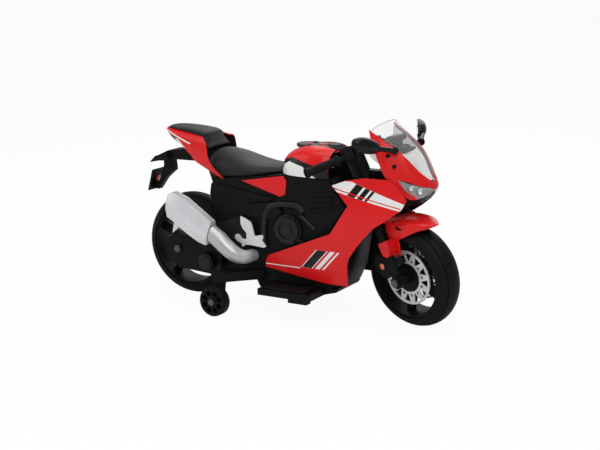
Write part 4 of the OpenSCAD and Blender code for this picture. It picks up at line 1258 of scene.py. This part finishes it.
    def headlight_lamps(self) -> None:
        """Two lamp bowls and a pale strip in each headlight, and a dark tube along its top as painted shade
        under the top edge of the opening.
        """
        bowls, strip, brow = Form(), Form(), Form()
        aim_x, aim_y, aim_z = self.lamp_aim
        for sign in (-1, 1):
            for x, y, z, r in self.lamps:
                cup = [(r * 0.3, 1.2), (r * 0.6, 2.6), (r * 0.9, 5.4), (r, 7), (r + 0.8, 7), (r + 0.6, 0)]
                base = disc_on(at(x, sign * y, z), Vector((aim_x, sign * aim_y, aim_z)))
                bowls.lathe([(0, 1), *cup, (0, 0)], base, 32)
            # Black tube along the headlight's top: painted shade under the top edge of the opening.
            brow.tube([at(x, sign * y, z) for x, y, z in self.brow], 1.5, 8)
            strip.tube([at(x - 3, sign * (y - 3), z - 4.5) for x, y, z in self.brow[1:]], 1.6, 8)
        bowls.settle("headlight_bowls", Finishes.chrome, "body")
        strip.settle("headlight_strips", Finishes.white, "body")
        brow.settle("headlight_brow_shades", Finishes.gloss_black, "body")

    def nose_screws(self) -> None:
        """Two recessed screws on each side of the nose."""
        form = Form()
        for x, y, z in self.screws:
            form.lathe(self.screw, disc_on(at(x, -y, z), Vector((0.25, -1.0, 0.28))), 24)
        form.both_sides().settle("nose_screws", Finishes.black, "body")

    def screen(self) -> None:
        """Clear bubble screen, with a rim tube whose pinkish grey is a painted reflection of the red nose."""
        rows = []
        for (rim_x, rim_y, rim_z), (ridge_x, ridge_z) in zip(self.screen_rim, self.screen_ridge):
            row = []
            for k in range(self.screen_columns + 1):
                turn = math.pi * k / self.screen_columns
                share = math.sin(turn)
                x, z = rim_x + (ridge_x - rim_x) * share, rim_z + (ridge_z - rim_z) * share
                row.append(at(x, -rim_y * math.cos(turn), z))
            rows.append(row)
        sheet = Form().skin(rows, 64, 40).facing_away(at(640, 0, 450))
        wall(sheet.settle("windscreen_piece", Finishes.clear, "body", ["windscreen"]), self.screen_wall, 0.5)
        # Rim tube; its pinkish grey is a painted reflection of the red nose.
        Form().tube(rows[-1], self.screen_edge, 12).settle("windscreen_edge", Finishes.clear_edge_reflection, "body")

    def dash(self) -> None:
        """Dash with its gauges and a display."""
        dress(Finishes.black, 1.0, 3, "dash_panel")
        bezels, faces = Form(), Form()
        for y, r, z in self.gauges:
            base, inner = Matrix.Translation(at(self.gauge_x, y, z)), r - self.gauge_face
            bezels.lathe([(r + out, up) for out, up in self.bezel], base, 48)
            faces.lathe([(0, 0.9), (inner, 0.9), (inner, 0.1), (0, 0.1)], base, 48)
        bezels.settle("dash_bezels", Finishes.grey, "body")
        faces.settle("dash_faces", Finishes.gloss_black, "body")
        hood = Form().prism(self.display, -self.display_half, self.display_half).rounded(2.0, 3)
        weigh_normals(hood.settle("dash_display", Finishes.gloss_black, "body"))

    def liners(self) -> None:
        """Pale liner from the dash down to the nose, and one on each flank under the screen's rim."""
        rows = []
        for x, y, z in self.screen_rim[:4]:
            row = []
            for k in (-1.0, -0.6, -0.2, 0.2, 0.6, 1.0):
                drop = self.liner_gap + self.liner_sag * (1 - abs(k))
                row.append(at(x - drop, 0.99 * y * k, z - drop))
            rows.append(row)
        front = Form().skin(rows, 24, 24).facing_away(at(690, 0, 400))
        wall(front.settle("dash_liner", Finishes.liner, "body"), self.liner_wall, 0.3)
        rows = []
        for (x, y, z), drop in zip(self.screen_rim[3:], self.liner_drop):
            rows.append([at(x - 1, -0.98 * y, z - 2 - drop * k / 3) for k in range(4)])
        flanks = Form().skin(rows, 24, 12).facing_away(at(640, 0, 460)).both_sides()
        wall(flanks.settle("screen_liners", Finishes.liner, "body"), self.liner_wall, 0.3)

    def mirrors(self) -> None:
        """Rounded mirror housings on stalks, with their glasses."""
        along = Vector(self.mirror_along).normalized()
        back = along.cross(Vector((0.0, 0.0, 1.0))).normalized()
        down = along.cross(back)
        middle = at(*self.mirror_at)
        form = Form()
        rings = []
        for k in range(15):
            a = -self.mirror_half * math.cos(math.pi * k / 14) * 0.98
            swell = math.sqrt(max(1 - (a / self.mirror_half) ** 2, 0.02))
            ring = []
            for j in range(20):
                c, s = math.cos(math.tau * j / 20), math.sin(math.tau * j / 20)
                depth = self.mirror_face * min(1.0, 4 * c) if c > 0 else self.mirror_depth * c * swell
                ring.append(middle + (along * a + back * depth + down * (self.mirror_rise * s * swell)) * MM)
            rings.append(ring)
        form.loft(rings, 60, 42)
        foot, knee = at(*self.stalk_foot), at(*self.stalk_knee)
        form.tube([foot, foot.lerp(knee, 0.35), foot.lerp(knee, 0.7), knee], self.stalk_radius, 20)
        form.lathe(self.stalk_base, disc_on(at(*self.stalk_base_at), Vector(self.stalk_base_aim)), 32)
        form.both_sides()
        form.settle("mirror_housings_piece", Finishes.gloss_black, "body", ["mirror_housings"], 50.0)
        dress(Finishes.mirror, 0.4, 2, "mirror_glasses")


@dataclass
class Tank:
    """Tank cover with its console."""

    rows: tuple[tuple[float, float, float, float], ...] = (
        (324, 0.62, 0.34, 1), (334, 0.74, 0.64, 1), (352, 0.88, 0.8, 1), (372, 0.95, 0.9, 0.95),
        (392, 0.98, 0.965, 0.89), (424, 1, 1, 0.868), (455, 0.95, 0.985, 0.875), (478, 0.86, 0.9, 0.93),
    )
    flank: tuple[Spot, ...] = (
        (-1, 0), (-1.02, 0.3), (-0.98, 0.58), (-0.88, 0.8), (-0.7, 0.92), (-0.52, 0.985), (-0.455, 1),
    )
    half_width: float = 88.0
    base: float = 395.1
    top: float = 475.76
    flank_steps: int = 24
    panel: float = 2.8

    def build(self) -> None:
        """Make the cover and dress console and switches."""
        rows = []
        for x, wide, high, low in self.rows:
            w, h = wide * self.half_width, high * (self.top - self.base)
            flank = [at(x, y * w, self.base + z * h) for y, z in self.flank]
            floor = [at(x, y * w, self.base + low * h) for y in (-0.45, -0.3, -0.15)]
            half = [spline(flank, k / self.flank_steps) for k in range(self.flank_steps + 1)] + floor
            mirrored = [Vector((v.x, -v.y, v.z)) for v in reversed(half)]
            rows.append([*half, at(x, 0, self.base + low * h), *mirrored])
        sheet = Form().skin(rows, len(rows[0]) - 1, 56).facing_away(at(400, 0, 390))
        piece = sheet.settle("tank_cover_piece", Finishes.tank, "body", ["tank_cover"])
        wall(piece, self.panel, 0.8, Finishes.inner)
        dress(Finishes.grey, 2.6, 4, "tank_console")
        dress(Finishes.button, 0.8, 3, "horn_button")
        dress(Finishes.grey, 0.8, 3, "music_button")
        dress(Finishes.button, 0.6, 2, "power_rocker")


@dataclass
class Seats:
    """Rider's seat and pillion pad, padded and covered."""

    seat_rows: tuple[tuple[float, float, float], ...] = (
        (82, 0.8, 424), (92, 0.85, 436.5), (106, 0.856, 440.5), (128, 0.865, 441), (158, 0.93, 435.5),
        (186, 0.98, 426), (212, 1, 417.5), (246, 0.93, 411), (288, 0.74, 408), (318, 0.58, 410),
        (330, 0.5, 409),
    )
    seat_half: float = 88.0
    base_x: float = 118.0
    base_z: float = 362.1
    base_rise: float = 33 / 227
    kick_x: float = 99.0
    kick_rise: float = 2.5
    seat_section: tuple[Spot, ...] = (
        (-0.94, 0), (-1, 0.22), (-0.98, 0.46), (-0.84, 0.7), (-0.5, 0.9), (0, 1),
        (0.5, 0.9), (0.84, 0.7), (0.98, 0.46), (1, 0.22), (0.94, 0), (0.5, 0), (0, 0), (-0.5, 0),
    )
    pad_rows: tuple[tuple[float, float, float, float], ...] = (
        (-74, 29, 487, 492.6), (-60, 39, 486.2, 494), (-30, 47, 484, 494.6), (10, 51.5, 479.5, 493.5),
        (36, 53.5, 475.6, 491.5), (48, 54.5, 473.7, 490.5), (57, 55, 472.2, 488), (64.8, 55.5, 471, 483),
        (66.6, 56, 458, 481.5), (71, 56.5, 449.5, 474), (77, 57, 444, 463), (84, 57, 441, 452),
        (89, 55, 440, 446),
    )
    pad_section: tuple[Spot, ...] = (
        (-0.97, 0), (-1, 0.3), (-0.92, 0.6), (-0.6, 0.88), (0, 1), (0.6, 0.88), (0.92, 0.6), (1, 0.3),
        (0.97, 0), (0.5, 0), (0, 0), (-0.5, 0),
    )
    slack: float = 1.6
    voxel: float = 4.5
    pressure: float = 4.0
    cap: float = 3.0
    frames: int = 20

    def build(self) -> None:
        """Make both pads."""
        seat = [[at(x, y * share * self.seat_half, self.seat_base(x) + z * (top - self.seat_base(x)))
                 for y, z in self.seat_section] for x, share, top in self.seat_rows]
        pad = [[at(x, y * half, low + z * (top - low)) for y, z in self.pad_section]
               for x, half, low, top in self.pad_rows]
        for node, rings, fill, fine in (("seat", seat, 0.8, 1.0), ("pillion_pad", pad, 0.9, 0.6)):
            form = self.swollen(Form().loft(rings, 84, 72), fine)
            piece = form.settle(node + "_piece", Finishes.cover, "body", [node], 70.0)
            finer = piece.modifiers.new("finer", "SUBSURF")
            finer.levels = finer.render_levels = 1

    def seat_base(self, x: float) -> float:
        """Height of the seat's underside."""
        return self.base_z + (x - self.base_x) * self.base_rise + max(0.0, self.kick_x - x) * self.kick_rise

    def swollen(self, form: Form, fine: float) -> Form:
        """Let the cover swell over its filling in a cloth simulation.

        Args:
            form: closed form of the pad.
            fine: share of the slack, the cap and the voxels' size that a thin pad takes.
        """
        scene = bpy.context.scene
        mesh = bpy.data.meshes.new("pad_cloth")
        form.pressed_in(self.slack * fine).bm.to_mesh(mesh)
        form.bm.free()
        pad = bpy.data.objects.new("pad_cloth", mesh)
        scene.collection.objects.link(pad)
        remesh = pad.modifiers.new("voxels", "REMESH")
        remesh.mode = "VOXEL"
        remesh.voxel_size = self.voxel * fine * MM
        pad.data = bpy.data.meshes.new_from_object(pad.evaluated_get(bpy.context.evaluated_depsgraph_get()))
        pad.modifiers.clear()
        start = [vert.co.copy() for vert in pad.data.vertices]
        cloth = pad.modifiers.new("cover", "CLOTH")
        cloth.settings.use_pressure = True
        cloth.settings.uniform_pressure_force = self.pressure
        cloth.settings.effector_weights.gravity = 0.0
        for number in range(1, self.frames + 1):
            scene.frame_set(number)
        settled = bpy.data.meshes.new_from_object(pad.evaluated_get(bpy.context.evaluated_depsgraph_get()))
        limit = self.cap * fine * MM
        for before, vert in zip(start, settled.vertices):
            shift = vert.co - before
            vert.co = before + shift * min(1.0, limit / max(shift.length, WELD))
        result = Form()
        result.bm.from_mesh(settled)
        scene.frame_set(1)
        bpy.data.objects.remove(pad)
        return result


@dataclass
class Tail:
    """Tail cowl, mudguard and plate."""

    half_width: float = 81.0
    rows: tuple[tuple[float, float, float, float, float], ...] = (
        (-73, 481.5, 489.3, 3, 0.46), (-45, 463, 487.35, 5, 0.62), (-10, 447, 483.7, 7, 0.76),
        (30, 420, 478.5, 8, 0.87), (52, 402.5, 475.2, 9, 0.915), (97, 364, 473.14, 14, 1),
    )
    foot: float = 0.96
    front_edge: tuple[float, float, float] = (33.0, 49.0, 1.008)
    panel: float = 3.0

    def build(self) -> None:
        """Make the cowl and dress what hangs under it."""
        rows = []
        for row in self.rows:
            x, low, deck, drop, share = row
            w, mid = self.half_width * share, low + (deck - low) * 0.4
            short, reach, foot = self.front_edge if row is self.rows[-1] else (0.0, 0.0, self.foot)
            side = [
                (x + reach, foot, low), (x + 0.06 * reach, 1.0, mid), (x - 0.3 * short, 0.97, deck - drop),
                (x - 0.65 * short, 0.82, deck - 0.46 * drop), (x - short, 0.64, deck),
                (x - short, 0.32, deck),
            ]
            right = [at(px, -w * y, z) for px, y, z in side]
            left = [at(px, w * y, z) for px, y, z in reversed(side)]
            rows.append([*right, at(x - short, 0, deck), *left])
        sheet = Form().skin(rows, 72, 48).facing_away(at(60, 0, 430))
        piece = sheet.settle("tail_cowl_piece", Finishes.tail, "body", ["tail_cowl"])
        wall(piece, self.panel, 0.8, Finishes.inner)
        dress(Finishes.black, 1.6, 3, "tail_frame")
        dress(Finishes.black, 1.2, 3, "plate_holder")
        dress(Finishes.lens, 0.8, 3, "rear_reflector")


@dataclass
class Exhaust:
    """Silencer and pipe."""

    path: tuple[tuple[float, float, float, float], ...] = (
        (140.5, -130, 215.5, 25), (160, -130, 203, 24.5), (184, -130, 184, 23.5), (205, -127, 168.5, 22.5),
        (222, -119, 159, 20.5), (236, -106, 156, 19), (242, -78.1, 156, 18),
    )
    mouth_tilt: float = 10.0
    facet_angle: float = 12.0
    ring_points: int = 16

    def build(self) -> None:
        """Dress the silencer and make the bent pipe."""
        dress(Finishes.silver, 2.0, 3, "exhaust_silencer", angle=self.facet_angle)
        spots = [at(x, y, z) for x, y, z, _ in self.path]
        rings = []
        for i, (spot, (_, _, _, radius)) in enumerate(zip(spots, self.path)):
            last = i == len(spots) - 1
            ahead = Vector((0.0, 1.0, 0.0)) if last else spots[i + 1] - spots[max(i - 1, 0)]
            if not i:
                tilt = math.radians(self.mouth_tilt)
                ahead = Vector((math.cos(tilt), 0.0, -math.sin(tilt)))
            ahead.normalize()
            out = ahead.cross(Vector((0.0, 0.0, 1.0))).normalized()
            up = out.cross(ahead)
            turns = [math.tau * k / self.ring_points for k in range(self.ring_points)]
            rings.append([spot + (out * math.cos(t) + up * math.sin(t)) * (radius * MM) for t in turns])
        pipe = Form().loft(rings, 48, 60)
        pipe.settle("exhaust_pipe_piece", Finishes.pipe, "body", ["exhaust_pipe"])


@dataclass
class Studio:
    """Camera, soft light and a pale floor."""

    camera_at: Vector = field(default_factory=lambda: Vector((1.89005, -3.38163, 1.11932)))
    azimuth: float = 29.2
    elevation: float = 12.81
    lens: float = 84.93
    softboxes: tuple[tuple[str, tuple[float, float, float], float, float], ...] = (
        ("key_softbox", (1.6, -2.4, 2.6), 2.0, 46.0), ("fill_softbox", (-2.4, -1.8, 1.8), 2.2, 22.0),
        ("back_softbox", (-0.6, 2.6, 2.4), 2.4, 34.0), ("top_softbox", (0.2, -0.2, 3.2), 2.4, 40.0),
    )
    aim: tuple[float, float, float] = (0.0, 0.0, 0.3)
    sky_level: float = 0.34
    glint_level: float = 0.12
    floor_half: float = 20.0
    floor_glow: float = 0.94

    def build(self) -> None:
        """Set up everything that isn't part of the object."""
        scene = bpy.context.scene
        scene.view_settings.view_transform = "Standard"
        self.camera(scene)
        for name, place, size, watts in self.softboxes:
            self.lamp(name, Vector(place), size, watts)
        self.sky(scene)
        self.floor()

    def camera(self, scene: bpy.types.Scene) -> None:
        """Camera at the photograph's viewpoint."""
        data = bpy.data.cameras.new("camera")
        data.lens = self.lens
        data.sensor_width = 36.0
        camera = bpy.data.objects.new("camera", data)
        turn = Matrix.Rotation(math.radians(self.azimuth), 4, "Z")
        tilt = Matrix.Rotation(math.radians(90 - self.elevation), 4, "X")
        camera.matrix_world = Matrix.Translation(self.camera_at) @ turn @ tilt
        scene.collection.objects.link(camera)
        scene.camera = camera

    def lamp(self, name: str, place: Vector, size: float, watts: float) -> None:
        """Square softbox that looks at the middle of the object."""
        data = bpy.data.lights.new(name, "AREA")
        data.energy = watts
        data.size = size
        lamp = bpy.data.objects.new(name, data)
        aim = Vector(self.aim) - place
        lamp.matrix_world = Matrix.Translation(place) @ aim.to_track_quat("-Z", "Y").to_matrix().to_4x4()
        bpy.context.scene.collection.objects.link(lamp)

    def sky(self, scene: bpy.types.Scene) -> None:
        """White behind the object, and a plain level of light on it."""
        world = bpy.data.worlds.new("studio")
        world.use_nodes = True
        scene.world = world
        tree = world.node_tree
        tree.nodes.clear()
        rays = tree.nodes.new("ShaderNodeLightPath")
        seen = tree.nodes.new("ShaderNodeMath")
        seen.operation = "MAXIMUM"
        tree.links.new(rays.outputs["Is Camera Ray"], seen.inputs[0])
        tree.links.new(rays.outputs["Is Transmission Ray"], seen.inputs[1])
        glints = tree.nodes.new("ShaderNodeMath")
        glints.operation = "MULTIPLY_ADD"
        glints.inputs[1].default_value = self.glint_level
        tree.links.new(rays.outputs["Is Glossy Ray"], glints.inputs[0])
        tree.links.new(seen.outputs[0], glints.inputs[2])
        blend = tree.nodes.new("ShaderNodeMixShader")
        tree.links.new(glints.outputs[0], blend.inputs[0])
        for socket, level in enumerate((self.sky_level, 1.0), 1):
            light = tree.nodes.new("ShaderNodeBackground")
            light.inputs["Color"].default_value = (1.0, 1.0, 1.0, 1.0)
            light.inputs["Strength"].default_value = level
            tree.links.new(light.outputs[0], blend.inputs[socket])
        output = tree.nodes.new("ShaderNodeOutputWorld")
        tree.links.new(blend.outputs[0], output.inputs[0])

    def floor(self) -> None:
        """Pale floor that keeps a soft shadow."""
        bm = bmesh.new()
        bmesh.ops.create_grid(bm, x_segments=1, y_segments=1, size=self.floor_half)
        mesh = bpy.data.meshes.new("floor")
        bm.to_mesh(mesh)
        bm.free()
        floor = bpy.data.objects.new("floor", mesh)
        bpy.context.scene.collection.objects.link(floor)
        shader = Shader("studio_floor")
        shader.constants(Base_Color=(0.86, 0.86, 0.86, 1.0), Roughness=0.9)
        glow = shader.node("ShaderNodeEmission", None, {"Color": (1.0, 1.0, 1.0, 1.0), "Strength": 1.0})
        rays = shader.node("ShaderNodeLightPath")
        direct = Value(shader, rays.outputs["Is Camera Ray"])
        through = Value(shader, rays.outputs["Is Transmission Ray"])
        share = direct.most(through) * self.floor_glow
        sockets = {0: share, 1: shader.bsdf.outputs[0], 2: glow.outputs[0]}
        blend = shader.node("ShaderNodeMixShader", None, sockets)
        output = next(n for n in shader.tree.nodes if n.type == "OUTPUT_MATERIAL")
        shader.feed(output.inputs["Surface"], blend.outputs[0])
        mesh.materials.append(shader.material)


def main() -> None:
    """Build the studio and dress every sub-assembly."""
    logging.basicConfig(level=logging.INFO, format="%(name)s: %(message)s")
    assemblies = (Studio(), Wheels(), Drive(), Fork(), Body(), Fairings(), Tank(), Seats(), Tail(), Exhaust())
    for assembly in assemblies:
        assembly.build()
        LOG.info("built %s", type(assembly).__name__)


if __name__ == "__main__":
    main()
